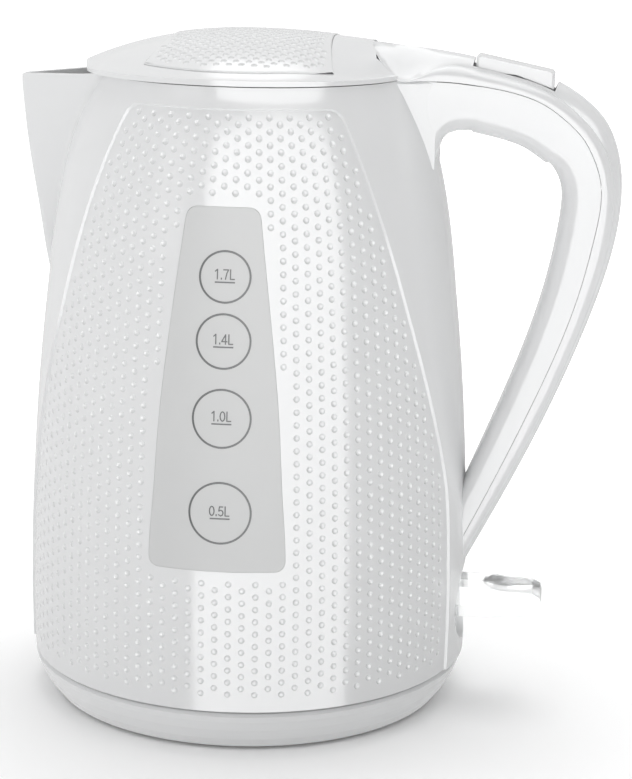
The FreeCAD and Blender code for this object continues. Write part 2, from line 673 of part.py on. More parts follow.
def filter_mesh():
    """Fine crossed wires that hold back scale."""
    bars = [block(-49.8, -49.2, y - 0.25, y + 0.25, 178.0, 204.0)
            for y in [-8.0 + 2.0 * k for k in range(9)]]
    rows = [block(-49.8, -49.2, -10.0, 10.0, z - 0.25, z + 0.25)
            for z in [180.0 + 2.0 * k for k in range(12)]]
    mesh = bars[0].multiFuse(bars[1:] + rows)
    return mesh


NODES = {
    "base_cover": base_cover,
    "base_plate": base_plate,
    "base_feet": base_feet,
    "base_screws": base_screws,
    "base_connector": base_connector,
    "base_contact_rings": base_contact_rings,
    "base_contact_pin": base_contact_pin,
    "cord_inlet": cord_inlet,
    "connector_socket": connector_socket,
    "socket_contacts": socket_contacts,
    "jug_shell": jug_shell,
    "water_window": water_window,
    "handle_cover": handle_cover,
    "hinge_bracket": hinge_bracket,
    "hinge_pin": hinge_pin,
    "bracket_screws": bracket_screws,
    "heating_plate": heating_plate,
    "plate_seal": plate_seal,
    "heating_element": heating_element,
    "control_unit": control_unit,
    "control_screws": control_screws,
    "bimetal_discs": bimetal_discs,
    "lower_cover": lower_cover,
    "cover_screws": cover_screws,
    "steam_tube": steam_tube,
    "lever_pin": lever_pin,
    "button_pin": button_pin,
    "button_spring": button_spring,
    "filter_frame": filter_frame,
    "filter_mesh": filter_mesh,
    "lid_top": lid_top,
    "lid_insert": lid_insert,
    "lid_inner": lid_inner,
    "lid_seal": lid_seal,
    "lid_screws": lid_screws,
    "lid_button": lid_button,
    "latch_slider": latch_slider,
    "switch_lever": switch_lever,
}


def main():
    os.makedirs("parts", exist_ok=True)
    for name, build in NODES.items():
        shape = build()
        shape.exportStep("parts/" + name + ".step")
        print(name, len(shape.Solids), "solid(s)", round(shape.Volume), "mm3",
              "valid" if shape.isValid() else "NOT VALID")


main()
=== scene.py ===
"""White electric kettle: the looks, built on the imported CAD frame.

Shapes are worked out in millimetres in the CAD's own axes (spout to -X, handle to +X,
water window to -Y) and turned into metres when a mesh is made.
"""

import math
from functools import lru_cache

import bpy
import numpy as np
from mathutils import Matrix, Vector
from mathutils.geometry import delaunay_2d_cdt


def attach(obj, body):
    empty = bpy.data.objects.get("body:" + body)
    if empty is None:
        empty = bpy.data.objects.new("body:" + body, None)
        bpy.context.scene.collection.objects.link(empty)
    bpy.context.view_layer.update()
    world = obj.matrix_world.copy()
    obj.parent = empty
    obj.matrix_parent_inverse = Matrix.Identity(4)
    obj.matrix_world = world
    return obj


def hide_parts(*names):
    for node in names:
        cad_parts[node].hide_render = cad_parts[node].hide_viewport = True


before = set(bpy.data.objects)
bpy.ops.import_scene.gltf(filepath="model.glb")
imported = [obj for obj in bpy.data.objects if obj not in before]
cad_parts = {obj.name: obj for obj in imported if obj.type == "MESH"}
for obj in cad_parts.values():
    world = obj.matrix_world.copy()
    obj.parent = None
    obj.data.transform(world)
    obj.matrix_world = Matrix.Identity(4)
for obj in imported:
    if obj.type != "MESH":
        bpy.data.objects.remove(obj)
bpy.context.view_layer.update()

MM = 0.001

# ------------------------------------------------------------------ main dimensions
SEAM_Z = 16.3              # underside of the jug
RIM_Z = 218.5              # top of the jug's rim
WALL = 2.6
FLOOR_Z = 50.0             # ledge that carries the heating plate
LEDGE_R = 62.0
LEDGE_DEEP = 3.0

PANEL_TOP_Z = 212.0        # the dimpled panels on the front and the back
PANEL_TOP_DEG = 38.0       # half the panel's angle at its top
PANEL_SLANT = 0.255        # degrees that each side gains for each millimetre down
PANEL_SOFT = 1.2           # how softly the side turns upright, in degrees
SPOUT_LIMIT = 80.0         # the widest half angle, towards the spout
HANDLE_LIMIT = 71.5        # and towards the handle, clear of the lever's scoop
PANEL_DEPTH = 0.85
PANEL_BEVEL = 0.55
DIMPLE_R = 1.12
DIMPLE_DEPTH = 0.56
DIMPLE_SIDES = 10
DIMPLE_TOP_Z = 209.4       # first row of the panels
PANEL_MARGIN = 2.9         # from a dimple's middle to the panel's edge
WINDOW_MARGIN = 2.7        # and to the window's side
WINDOW_MARGIN_Z = 3.4      # and to its top and bottom
COLUMN_DEG = 3.33
ROW_PITCH = 4.2

WINDOW_TOP_Z = 182.0
WINDOW_BOTTOM_Z = 64.5
WINDOW_MIDDLE_Z = 120.0
WINDOW_GAP = 0.07

SPOUT_LOW_Z = 140.0        # the spout's patch of the jug starts here
SPOUT_IN_LOW_Z = 156.0     # and its channel here
SPOUT_TOP_Z = 212.0        # last level row below the mouth
SPOUT_WALL = 2.2
SCOOP_Z = 35.0
SCOOP_HALF_Y = 19.0
SCOOP_HALF_Z = 14.0
SCOOP_X = 70.0
SLOT_HALF_Y = 7.6
SLOT_HALF_Z = 8.0

POCKET_HALF = 14.8         # cut-out in the jug's wall for the lid hinge
POCKET_Z = 202.6

# outside of the jug: (height, radius)
JUG_PROFILE = [(16.3, 77.2), (34.7, 77.5), (53.1, 77.2), (71.5, 76.6), (89.9, 75.7),
               (108.2, 74.5), (126.6, 72.9), (145.0, 70.9), (163.4, 68.8), (181.7, 65.7),
               (200.1, 60.7), (218.5, 52.7)]


# ------------------------------------------------------------------ curves
def spline(points):
    """The natural cubic through (t, value...) points, as a function of t."""
    data = np.array(points, float)
    t, values = data[:, 0], data[:, 1:]
    n = len(t)
    step = np.diff(t)
    matrix = np.zeros((n, n))
    right = np.zeros((n, values.shape[1]))
    matrix[0, 0] = matrix[-1, -1] = 1.0
    for k in range(1, n - 1):
        matrix[k, k - 1:k + 2] = step[k - 1], 2 * (step[k - 1] + step[k]), step[k]
        rise = (values[k + 1] - values[k]) / step[k] - (values[k] - values[k - 1]) / step[k - 1]
        right[k] = 6 * rise
    bend = np.linalg.solve(matrix, right)

    @lru_cache(maxsize=None)
    def value(at):
        k = int(np.clip(np.searchsorted(t, at) - 1, 0, n - 2))
        h, a, b = step[k], t[k + 1] - at, at - t[k]
        out = (bend[k] * a ** 3 + bend[k + 1] * b ** 3) / (6 * h)
        out = out + (values[k] / h - bend[k] * h / 6) * a
        out = out + (values[k + 1] / h - bend[k + 1] * h / 6) * b
        return float(out[0]) if len(out) == 1 else out
    return value


def bezier(a, b, c, count, skip_first=False):
    """Points on a quadratic arc from a to c that leans on b."""
    first = 1 if skip_first else 0
    points = []
    for k in range(first, count + 1):
        t = k / count
        points.append(tuple((1 - t) ** 2 * p + 2 * t * (1 - t) * q + t * t * r
                            for p, q, r in zip(a, b, c)))
    return points


def smooth(t):
    t = min(max(t, 0.0), 1.0)
    return t * t * (3 - 2 * t)


def span(first, last, step):
    """Evenly spaced values from first to last, about step apart."""
    return [float(v) for v in np.linspace(first, last, max(2, round(abs(last - first) / step) + 1))]


# ------------------------------------------------------------------ mesh building
class Skin:
    """Collects faces given by their corner points and welds corners that coincide."""

    def __init__(self):
        self.points = []
        self.known = {}
        self.faces = []
        self.normals = []

    def corner(self, point):
        key = (round(point[0], 3), round(point[1], 3), round(point[2], 3))
        if key not in self.known:
            self.known[key] = len(self.points)
            self.points.append(point)
        return self.known[key]

    def face(self, points, normals=None):
        corners = [self.corner(p) for p in points]
        kept = [k for k, c in enumerate(corners) if c != corners[k - 1]]
        if len(kept) > 2 and len({corners[k] for k in kept}) == len(kept):
            self.faces.append([corners[k] for k in kept])
            self.normals.append([normals[k] for k in kept] if normals else None)

    def strip(self, first, second, flip=False):
        """Quads between two rows of points."""
        for k in range(len(first) - 1):
            quad = [first[k], first[k + 1], second[k + 1], second[k]]
            self.face(quad[::-1] if flip else quad)

    def grid(self, rows, flip=False):
        for k in range(len(rows) - 1):
            self.strip(rows[k], rows[k + 1], flip)

    def build(self, name, sharp_deg=32.0):
        mesh = bpy.data.meshes.new(name)
        mesh.from_pydata([Vector(p) * MM for p in self.points], [], self.faces)
        mesh.polygons.foreach_set("use_smooth", [True] * len(mesh.polygons))
        mesh.set_sharp_from_angle(angle=math.radians(sharp_deg))
        if any(self.normals):
            own = [c.vector.copy() for c in mesh.corner_normals]
            for polygon, given in zip(mesh.polygons, self.normals):
                if given:
                    for k, loop in enumerate(polygon.loop_indices):
                        own[loop] = given[k]
            mesh.normals_split_custom_set(own)
        piece = bpy.data.objects.new(name, mesh)
        bpy.context.scene.collection.objects.link(piece)
        return piece


def turned(skin, profile, steps):
    """Turn a (radius, height) line about the Z axis."""
    rows = []
    for radius, z in profile:
        rows.append([(radius * math.cos(2 * math.pi * k / steps),
                      radius * math.sin(2 * math.pi * k / steps), z) for k in range(steps + 1)])
    skin.grid(rows)


def fill(chains, extra, keep):
    """Triangles of the plane that follow the chains of points, where keep(x, y) is true."""
    coords, edges = [], []
    for chain in chains:
        first = len(coords)
        coords += [Vector(p) for p in chain]
        edges += [(k, k + 1) for k in range(first, len(coords) - 1)]
    coords += [Vector(p) for p in extra]
    flat, _, triangles, *_ = delaunay_2d_cdt(coords, edges, [], 0, 1e-4)
    kept = []
    for triangle in triangles:
        x = sum(flat[k][0] for k in triangle) / 3
        y = sum(flat[k][1] for k in triangle) / 3
        if keep(x, y):
            kept.append([tuple(flat[k]) for k in triangle])
    return kept


# ------------------------------------------------------------------ the jug's wall
jug_radius = spline(JUG_PROFILE)
CHART = 1.3                # millimetres of a flat chart for each degree round the jug


def on_wall(deg, z, depth=0.0):
    angle = math.radians(deg)
    radius = jug_radius(z) - depth
    return (radius * math.cos(angle), radius * math.sin(angle), z)


@lru_cache(maxsize=None)
def wall_normal(deg, z, inwards=False):
    angle = math.radians(deg)
    slope = jug_radius(min(z + 0.4, RIM_Z)) - jug_radius(max(z - 0.4, SEAM_Z))
    normal = Vector((math.cos(angle), math.sin(angle), -slope / 0.8)).normalized()
    return -normal if inwards else normal


def panel_half(z, limit):
    """Half the panel's angle: it widens downwards as far as the limit on that side."""
    slant = PANEL_TOP_DEG + PANEL_SLANT * (PANEL_TOP_Z - z)
    return -PANEL_SOFT * math.log(math.exp(-slant / PANEL_SOFT) + math.exp(-limit / PANEL_SOFT))


def panel_outline(inset=0.0):
    """Outline as (degrees from the panel's middle, height): up the spout side, over, down."""
    corner = 4.5
    top = PANEL_TOP_Z - inset

    def side(z, limit):
        tilt = 0.34 if panel_half(z, limit) < limit - 2 else 0.0
        per_degree = math.radians(1) * jug_radius(z)
        return panel_half(z, limit) - inset * math.sqrt(1 + tilt ** 2) / per_degree
    heights = span(SEAM_Z, top - corner, 5.0)
    spout_side = [(-side(z, SPOUT_LIMIT), z) for z in heights]
    handle_side = [(side(z, HANDLE_LIMIT), z) for z in heights]
    reach = corner / (math.radians(1) * jug_radius(top))
    edge = side(top, HANDLE_LIMIT)
    left = bezier(spout_side[-1], (-edge, top), (-edge + reach, top), 6, True)
    right = bezier((edge - reach, top), (edge, top), handle_side[-1], 6, True)
    middle = [(a, top) for a in span(-edge + reach, edge - reach, COLUMN_DEG)[1:]]
    return spout_side + left + middle + right[:-1] + handle_side[::-1]


# half width of the window at each height, in millimetres
window_half = spline([(WINDOW_BOTTOM_Z, 22.8), (72, 22.6), (90, 21.3), (111, 20.0),
                      (137, 17.4), (160, 14.6), (178, 12.3), (WINDOW_TOP_Z, 11.8)])


@lru_cache(maxsize=None)
def window_outline(grow):
    """Closed outline as (degrees, height), with round corners."""
    corner = 4.0
    low, high = WINDOW_BOTTOM_Z - grow, WINDOW_TOP_Z + grow

    def at(width, z):
        return (math.degrees(math.asin(width / jug_radius(z))), z)

    def half(z):
        return window_half(min(max(z, WINDOW_BOTTOM_Z), WINDOW_TOP_Z)) + grow
    right = [at(half(z), z) for z in span(low + corner, high - corner, 4.0)]
    top = bezier(right[-1], at(half(high), high), at(half(high) - corner, high), 6, True)
    bottom = bezier(at(half(low) - corner, low), at(half(low), low), right[0], 6)
    side = bottom[:-1] + right + top
    top_middle = [(a, high) for a in span(side[-1][0], -side[-1][0], 2.0)[1:-1]]
    bottom_middle = [(a, low) for a in span(-side[0][0], side[0][0], 2.0)[1:-1]]
    mirrored = [(-a, z) for a, z in side[::-1]]
    ring = side + top_middle + mirrored + bottom_middle
    return ring + [ring[0]]


def dimple_sites(has_window):
    """Centres of the dimples: staggered columns, clear of the edges and the window."""
    sites = []
    for column in range(-24, 25):
        a = column * COLUMN_DEG
        limit = SPOUT_LIMIT if a < 0 else HANDLE_LIMIT
        z = DIMPLE_TOP_Z - (column % 2) * ROW_PITCH / 2
        while z > SEAM_Z + 4.5:
            per_degree = math.radians(1) * jug_radius(z)
            room = (panel_half(z, limit) - abs(a)) * per_degree
            clear = room > PANEL_MARGIN
            if has_window:
                in_rows = (WINDOW_BOTTOM_Z - WINDOW_MARGIN_Z < z
                           < WINDOW_TOP_Z + WINDOW_MARGIN_Z)
                near = window_half(min(max(z, WINDOW_BOTTOM_Z), WINDOW_TOP_Z)) + WINDOW_MARGIN
                clear = clear and not (in_rows and abs(a) * per_degree < near)
            if clear:
                sites.append((a, z))
            z -= ROW_PITCH
    return sites


def hollow(skin, place, axes):
    """A round hollow with a sharp edge: two rings and a middle point on a sphere.

    place(u, v, drop) gives a point and axes(u, v) the surface's normal and its two directions.
    """
    sphere = (DIMPLE_R ** 2 + DIMPLE_DEPTH ** 2) / (2 * DIMPLE_DEPTH)
    rings, tilts = [], []
    for share in (1.0, 0.6, 0.0):
        radius = DIMPLE_R * share
        lean = math.sqrt(sphere ** 2 - radius ** 2)
        drop = lean - math.sqrt(sphere ** 2 - DIMPLE_R ** 2)
        ring, tilt = [], []
        for k in range(DIMPLE_SIDES + 1):
            angle = 2 * math.pi * k / DIMPLE_SIDES
            u, v = radius * math.cos(angle), radius * math.sin(angle)
            normal, east, north = axes(u, v)
            ring.append(place(u, v, drop))
            tilt.append((normal * lean - east * u - north * v).normalized())
        rings.append(ring)
        tilts.append(tilt)
    for n in range(2):
        for k in range(DIMPLE_SIDES):
            ring = [(n, k), (n, k + 1), (n + 1, k + 1), (n + 1, k)]
            skin.face([rings[i][j] for i, j in ring], [tilts[i][j] for i, j in ring])


def wall_dimple(skin, place, a, z, turn):
    """A hollow in a panel; place and turn are the panel's own."""
    per_degree = math.radians(1) * jug_radius(z)

    def axes(u, v):
        at_a = a + u / per_degree
        normal = turn(wall_normal(0, z + v), at_a)
        around = turn(Vector((0, 1, 0)), at_a)
        return normal, around, normal.cross(around).normalized()
    hollow(skin, lambda u, v, drop: place(a + u / per_degree, z + v, PANEL_DEPTH + drop), axes)


def panel(skin, middle_deg, mirror, window):
    """The recessed, dimpled sheet on one side of the jug, with the bevel round it."""
    way = -1 if mirror else 1

    def place(a, z, depth):
        return on_wall(middle_deg + way * a, z, depth)

    def turn(vector, a):
        """From the frame at 0 degrees to the place at a; a mirrored panel leans the other way."""
        turned_vector = Vector((vector.x, way * vector.y, vector.z))
        return Matrix.Rotation(math.radians(middle_deg + way * a), 3, "Z") @ turned_vector

    outer = panel_outline()
    inner = panel_outline(PANEL_BEVEL)
    bottom = [(a, SEAM_Z) for a in span(inner[-1][0], inner[0][0], 3.0)]
    chains = [inner + bottom[1:]]
    hole = window_outline(WINDOW_GAP) if window else None
    if window:
        chains.append(hole)
    sites = dimple_sites(window)
    known = set()
    for a, z in sites:
        per_degree = math.radians(1) * jug_radius(z)
        angles = [2 * math.pi * k / DIMPLE_SIDES for k in range(DIMPLE_SIDES + 1)]
        chains.append([(a + DIMPLE_R * math.cos(t) / per_degree, z + DIMPLE_R * math.sin(t))
                       for t in angles])
        known.add((round(a / COLUMN_DEG), round(z, 2)))

    def keep(u, z):
        a = u / CHART
        column = round(a / COLUMN_DEG)
        first = DIMPLE_TOP_Z - (column % 2) * ROW_PITCH / 2
        row_z = first - round((first - z) / ROW_PITCH) * ROW_PITCH
        per_degree = math.radians(1) * jug_radius(row_z)
        off = math.hypot((a - column * COLUMN_DEG) * per_degree, z - row_z)
        if off < DIMPLE_R * 0.95 and (column, round(row_z, 2)) in known:
            return False
        if window and inside_outline(hole, a, z):
            return False
        return inside_outline(inner, a, z)
    flat = [[(a * CHART, z) for a, z in chain] for chain in chains]
    for triangle in fill(flat, [], keep):
        corners = [(u / CHART, z) for u, z in triangle]
        points = [place(a, z, PANEL_DEPTH) for a, z in corners]
        normals = [turn(wall_normal(0, z), a) for a, z in corners]
        skin.face(points[::way], normals[::way])
    for a, z in sites:
        part = Skin()
        wall_dimple(part, place, a, z, turn)
        for corners, normals in zip(part.faces, part.normals):
            skin.face([part.points[c] for c in corners][::way], normals[::way])
    skin.strip([place(a, z, 0.0) for a, z in outer],
               [place(a, z, PANEL_DEPTH) for a, z in inner], flip=not mirror)
    if window:
        skin.strip([place(a, z, PANEL_DEPTH) for a, z in hole],
                   [place(a, z, WALL) for a, z in hole])


def inside_outline(outline, a, z):
    """True if the place is inside the outline, by counting the sides that it crosses."""
    inside = False
    ring = outline + [outline[0]]
    for (a0, z0), (a1, z1) in zip(ring, ring[1:]):
        if (z0 > z) != (z1 > z) and a < a0 + (z - z0) * (a1 - a0) / (z1 - z0):
            inside = not inside
    return inside


# ------------------------------------------------------------------ the spout
# (height, reach of the flat sides, half width of the flat sides at the root)
SPOUT_LEVELS = spline([(146, 70.0, 1.2), (164, 73.9, 5.6), (190, 78.2, 10.8), (222, 81.9, 16.0)])
SPOUT_KEEL = spline([(140, 69.5), (150.7, 71.8), (170, 75.0), (190, 78.2), (213.4, 80.7)])
SPOUT_ROOT_X = 57.0
LIP_RISE = 0.7             # the mouth's edge is highest beside the rim and dips to the tip
LIP_DIP = 2.9


def crease_point(z, inset):
    """Where the spout's flat side meets the jug, and the flat side's far end."""
    reach, root = SPOUT_LEVELS(z)
    radius = jug_radius(min(z, RIM_Z)) - inset * WALL / SPOUT_WALL
    start = np.array([-SPOUT_ROOT_X, max(root - inset, 0.4)])
    end = np.array([-reach + 1.5 + 0.6 * inset, max(2.6 - 0.8 * inset, 0.4)])
    along = end - start
    a, b, c = along @ along, 2 * start @ along, start @ start - radius ** 2
    share = (-b + math.sqrt(max(b * b - 4 * a * c, 0.0))) / (2 * a)
    return start + along * share, end, radius


def spout_row(z, inset):
    """Half of the spout's outline at one height, from the jug's wall to the keel."""
    crease, end, radius = crease_point(z, inset)
    fade = smooth((z - SPOUT_LOW_Z - inset * 6) / 12)
    fillet = (1.2 + 2.0 * smooth((z - 150) / 60)) * (0.5 + 0.5 * fade)
    angle = math.atan2(crease[1], -crease[0]) + fillet / radius
    root = np.array([-radius * math.cos(angle), radius * math.sin(angle)])
    along = (end - crease) / max(np.linalg.norm(end - crease), 1e-6)
    room = max(np.linalg.norm(end - crease), 0.3)
    leave = crease + along * min(fillet, 0.4 * room)
    keel = SPOUT_KEEL(min(z, 213.4)) - inset
    points = bezier(tuple(root), tuple(crease), tuple(leave), 6)
    points += [tuple(leave + (end - leave) * k / 6) for k in range(1, 7)]
    points += bezier(tuple(end), (-2 * keel - end[0], 0.55 * end[1]), (-keel, 0.0), 4, True)
    row = []
    for x, y in points:
        out = math.hypot(x, y)
        reach = radius + max(out - radius, 0.0) * fade
        row.append((x * reach / out, y * reach / out))
    row[0] = tuple(root)
    return row


def spout_rows(low, inset):
    """Rows of the spout's skin from low to the mouth, each from +Y round the keel to -Y."""
    rows = []
    for z in span(low, SPOUT_TOP_Z, 5.0):
        half = [(x, y, z) for x, y in spout_row(z, inset)]
        rows.append(half + [(x, -y, z) for x, y, z in half[-2::-1]])
    mouth = []
    count = len(spout_row(RIM_Z, inset))
    for k in range(count):
        share = k / (count - 1)
        rise = LIP_RISE * math.sin(math.pi * min(share * 2.2, 1.0))
        z = RIM_Z + rise - LIP_DIP * smooth(share * 1.15 - 0.15)
        x, y = spout_row(min(z, RIM_Z + 0.5), inset)[k]
        mouth.append((x, y, z))
    mouth[0] = (*spout_row(RIM_Z, inset)[0], RIM_Z)
    rows.append(mouth + [(x, -y, z) for x, y, z in mouth[-2::-1]])
    return rows


def edge_of(rows):
    """The patch's outline on the jug's chart: (degrees, height) up one side, and its low row."""
    def deg(point):
        return math.degrees(math.atan2(point[1], point[0])) % 360
    plus = [(deg(row[0]), row[0][2]) for row in rows]
    minus = [(deg(row[-1]), row[-1][2]) for row in rows]
    low = [(deg(point), point[2]) for point in rows[0]]
    return plus, low, minus


# ------------------------------------------------------------------ the jug
def pocket_edge(depth, top):
    """The hinge pocket's outline on the chart, from +Y down, across and up to -Y."""
    side = [(math.degrees(math.asin(POCKET_HALF / (jug_radius(z) - depth))), z)
            for z in span(top, POCKET_Z, 4.0)]
    across = [(a, POCKET_Z) for a in span(side[-1][0], -side[-1][0], 3.0)[1:-1]]
    return side + across + [(-a, z) for a, z in side[::-1]]


def scoop_outline(count=40):
    """Closed oval round the lever, as (degrees, height)."""
    ring = []
    for k in range(count):
        t = 2 * math.pi * k / count
        z = SCOOP_Z + SCOOP_HALF_Z * math.sin(t)
        y = SCOOP_HALF_Y * math.cos(t)
        ring.append((math.degrees(math.asin(y / jug_radius(z))), z))
    return ring + [ring[0]]


def wrap(deg):
    """Degrees brought into the chart, which starts and ends in the middle of the front."""
    return (deg + 90.0) % 360.0 - 90.0


def wall_sheet(skin, depth, low, spout, pocket, holes, inwards):
    """One skin of the jug's wall: the chart less the spout, the pocket and the other holes."""
    plus, low_row, minus = edge_of(spout)
    degrees = span(-90, 270, 3.0)
    heights = span(low, RIM_Z, 5.2)
    first, last = plus[-1][0], minus[-1][0]
    side = pocket[0][0]
    chains = [[(a, low) for a in degrees], pocket, plus, low_row, minus] + holes
    chains += [[(-90, z) for z in heights], [(270, z) for z in heights]]
    east = [side] + [a for a in degrees if side < a < first - 1] + [first]
    west = [last] + [a for a in degrees if a > last + 1]
    south = [a for a in degrees if a < -side] + [-side]
    east, west, south = ([(a, RIM_Z) for a in part] for part in (east, west, south))
    chains += [east, west, south]
    spout_ring = plus[::-1] + low_row[1:-1] + minus

    def keep(u, z):
        a = u / CHART
        return not (inside_outline(spout_ring, a, z) or inside_outline(pocket, a, z)
                    or any(inside_outline(hole, a, z) for hole in holes))
    extra = [(a, z) for a in degrees[1:-1] for z in heights[1:-1]]
    extra = [p for p in extra if keep(p[0] * CHART, p[1])]
    flat = [[(a * CHART, z) for a, z in chain] for chain in chains]
    for triangle in fill(flat, [(a * CHART, z) for a, z in extra], keep):
        corners = [(u / CHART, z) for u, z in triangle]
        points = [on_wall(a, z, depth) for a, z in corners]
        normals = [wall_normal(a, z, inwards) for a, z in corners]
        if inwards:
            points, normals = points[::-1], normals[::-1]
        skin.face(points, normals)
    return east, west, south


def jug_body():
    """The jug with its spout, panels and scoop, as one skin inside and out."""
    skin = Skin()
    edge = panel_outline()
    # The front panel is cut in two by the chart's ends; the back one is whole.
    left = [(270 + a, z) for a, z in edge if a < -0.01]
    right = [(-90 + a, z) for a, z in edge if a > 0.01]
    left = left + [(270.0, PANEL_TOP_Z), (270.0, SEAM_Z)]
    right = [(-90.0, SEAM_Z), (-90.0, PANEL_TOP_Z)] + right
    back = [(90 - a, z) for a, z in edge]
    spout_out = spout_rows(SPOUT_LOW_Z, 0.0)
    spout_in = spout_rows(SPOUT_IN_LOW_Z, SPOUT_WALL)
    scoop = scoop_outline()
    outer_pocket = pocket_edge(0.0, RIM_Z)
    inner_pocket = pocket_edge(WALL, RIM_Z)
    outer = wall_sheet(skin, 0.0, SEAM_Z, spout_out, outer_pocket,
                       [left, right, back, scoop], False)
    hole = window_outline(WINDOW_GAP)
    in_left = [(270 + a, z) for a, z in hole if a < -0.01]
    in_right = [(-90 + a, z) for a, z in hole if a > 0.01]
    top_z, low_z = WINDOW_TOP_Z + WINDOW_GAP, WINDOW_BOTTOM_Z - WINDOW_GAP
    in_left = ring_half(in_left, 270.0, low_z, top_z)
    in_right = ring_half(in_right, -90.0, low_z, top_z)
    inner = wall_sheet(skin, WALL, FLOOR_Z, spout_in, inner_pocket, [in_left, in_right], True)
    skin.grid(spout_out, flip=True)
    skin.grid(spout_in)
    skin.strip(spout_out[-1], spout_in[-1], flip=True)
    for out_edge, in_edge in zip(outer, inner):
        rim_strip(skin, out_edge, in_edge)
    skin.strip([on_wall(a, z) for a, z in outer_pocket],
               [on_wall(a, z, WALL) for a, z in inner_pocket], flip=True)
    panel(skin, -90.0, False, True)
    panel(skin, 90.0, True, False)
    turned(skin, [(jug_radius(FLOOR_Z) - WALL, FLOOR_Z), (LEDGE_R, FLOOR_Z),
                  (LEDGE_R, FLOOR_Z - LEDGE_DEEP),
                  (jug_radius(FLOOR_Z - LEDGE_DEEP) - WALL, FLOOR_Z - LEDGE_DEEP),
                  (jug_radius(SEAM_Z) - WALL, SEAM_Z)], 120)
    scoop_bowl(skin, scoop)
    foot_strip(skin)
    return skin.build("jug_body_skin")


def ring_half(points, edge, low_z, high_z):
    """Half a closed outline, closed along the chart's end, in order round it."""
    def turn(point):
        angle = math.atan2(point[1] - WINDOW_MIDDLE_Z, (point[0] - edge) * 3)
        return angle % (2 * math.pi) if edge > 0 else angle
    low, high = (edge, low_z), (edge, high_z)
    start, end = (high, low) if edge > 0 else (low, high)
    return [start] + sorted(points, key=turn) + [end]


def rim_strip(skin, out_edge, in_edge):
    """The flat top of the wall, between edges whose inner points follow the outer ones."""
    first, last = in_edge[0][0], in_edge[-1][0]
    inner = [(min(max(a, first), last), z) for a, z in out_edge]
    inner[0], inner[-1] = in_edge[0], in_edge[-1]
    skin.strip([on_wall(a, z) for a, z in out_edge],
               [on_wall(a, z, WALL) for a, z in inner])


def scoop_bowl(skin, scoop):
    """The finger hollow round the lever, down to a flat floor with the lever's slot."""
    rows = []
    for share in (0.0, 0.12, 0.3, 0.55, 0.8, 1.0):
        row = []
        for k, (a, z) in enumerate(scoop):
            t = 2 * math.pi * k / (len(scoop) - 1)
            edge = Vector(on_wall(a, z))
            reach = 1.0 / max(abs(math.cos(t)) / SLOT_HALF_Y, abs(math.sin(t)) / SLOT_HALF_Z)
            slot_y, slot_z = reach * math.cos(t), SCOOP_Z - 0.5 + reach * math.sin(t)
            ease = 1 - (1 - share) ** 2.4
            row.append((edge.x + (SCOOP_X - edge.x) * ease,
                        edge.y + (slot_y - edge.y) * share,
                        edge.z + (slot_z - edge.z) * share))
        rows.append(row)
    rows.append([(SCOOP_X - 8, y, z) for x, y, z in rows[-1]])
    skin.grid(rows, flip=True)


def foot_strip(skin):
    """The jug's bottom edge, between the outer skin with its panels and the plain inner skin."""
    edge = panel_outline(PANEL_BEVEL)
    rim = panel_outline()
    stops = []
    for middle, way in ((-90.0, 1), (90.0, -1)):
        recessed = [(a, PANEL_DEPTH) for a in span(edge[-1][0], edge[0][0], 3.0)]
        whole = [(rim[-1][0], 0.0)] + recessed + [(rim[0][0], 0.0)]
        stops += [(wrap(middle + way * a), depth) for a, depth in whole]
    spout_side, handle_side = rim[0][0], rim[-1][0]
    for a in span(-90, 270, 3.0):
        on_front = a <= -90 + handle_side or a >= 270 + spout_side
        on_back = 90 - handle_side <= a <= 90 - spout_side
        if not (on_front or on_back):
            stops.append((a, 0.0))
    stops.sort()
    stops.append((stops[0][0] + 360, stops[0][1]))
    outer = [on_wall(a, SEAM_Z, depth) for a, depth in stops]
    inner = [on_wall(a, SEAM_Z, WALL) for a, depth in stops]
    skin.strip(outer, inner, flip=True)


def water_window():
    """The window pane: its face, its edge and its back."""
    skin = Skin()
    outline = window_outline(0.0)
    grid = [(a, z) for a in span(-16, 16, 2.0) for z in span(WINDOW_BOTTOM_Z, WINDOW_TOP_Z, 4.0)]
    inside = [(a, z) for a, z in grid if inside_outline(window_outline(-1.0), a, z)]
    flat = [[(a * CHART, z) for a, z in outline]]
    triangles = fill(flat, [(a * CHART, z) for a, z in inside],
                     lambda u, z: inside_outline(outline, u / CHART, z))
    for triangle in triangles:
        corners = [(u / CHART, z) for u, z in triangle]
        for depth, inwards in ((PANEL_DEPTH, False), (WALL, True)):
            points = [on_wall(-90 + a, z, depth) for a, z in corners]
            normals = [wall_normal(-90 + a, z, inwards) for a, z in corners]
            skin.face(points[::-1] if inwards else points, normals[::-1] if inwards else normals)
    skin.strip([on_wall(-90 + a, z, PANEL_DEPTH) for a, z in outline],
               [on_wall(-90 + a, z, WALL) for a, z in outline], flip=True)
    return skin.build("window_pane")


# ------------------------------------------------------------------ marks on the window
MARK_PROUD = 0.08
MARKS = [(160.2, 8.45, 158.7, "1.7L"), (139.7, 9.0, 138.1, "1.4L"),
         (114.9, 9.7, 113.4, "1.0L"), (84.0, 10.35, 82.4, "0.5L")]
MARK_CENTRE = 1.3
LINE_WIDTH = 0.65


def on_pane(y_across, z, proud):
    """A point of the window's face, across millimetres from the middle."""
    radius = jug_radius(z) - PANEL_DEPTH
    return on_wall(-90 + math.degrees(y_across / radius), z, PANEL_DEPTH - proud)


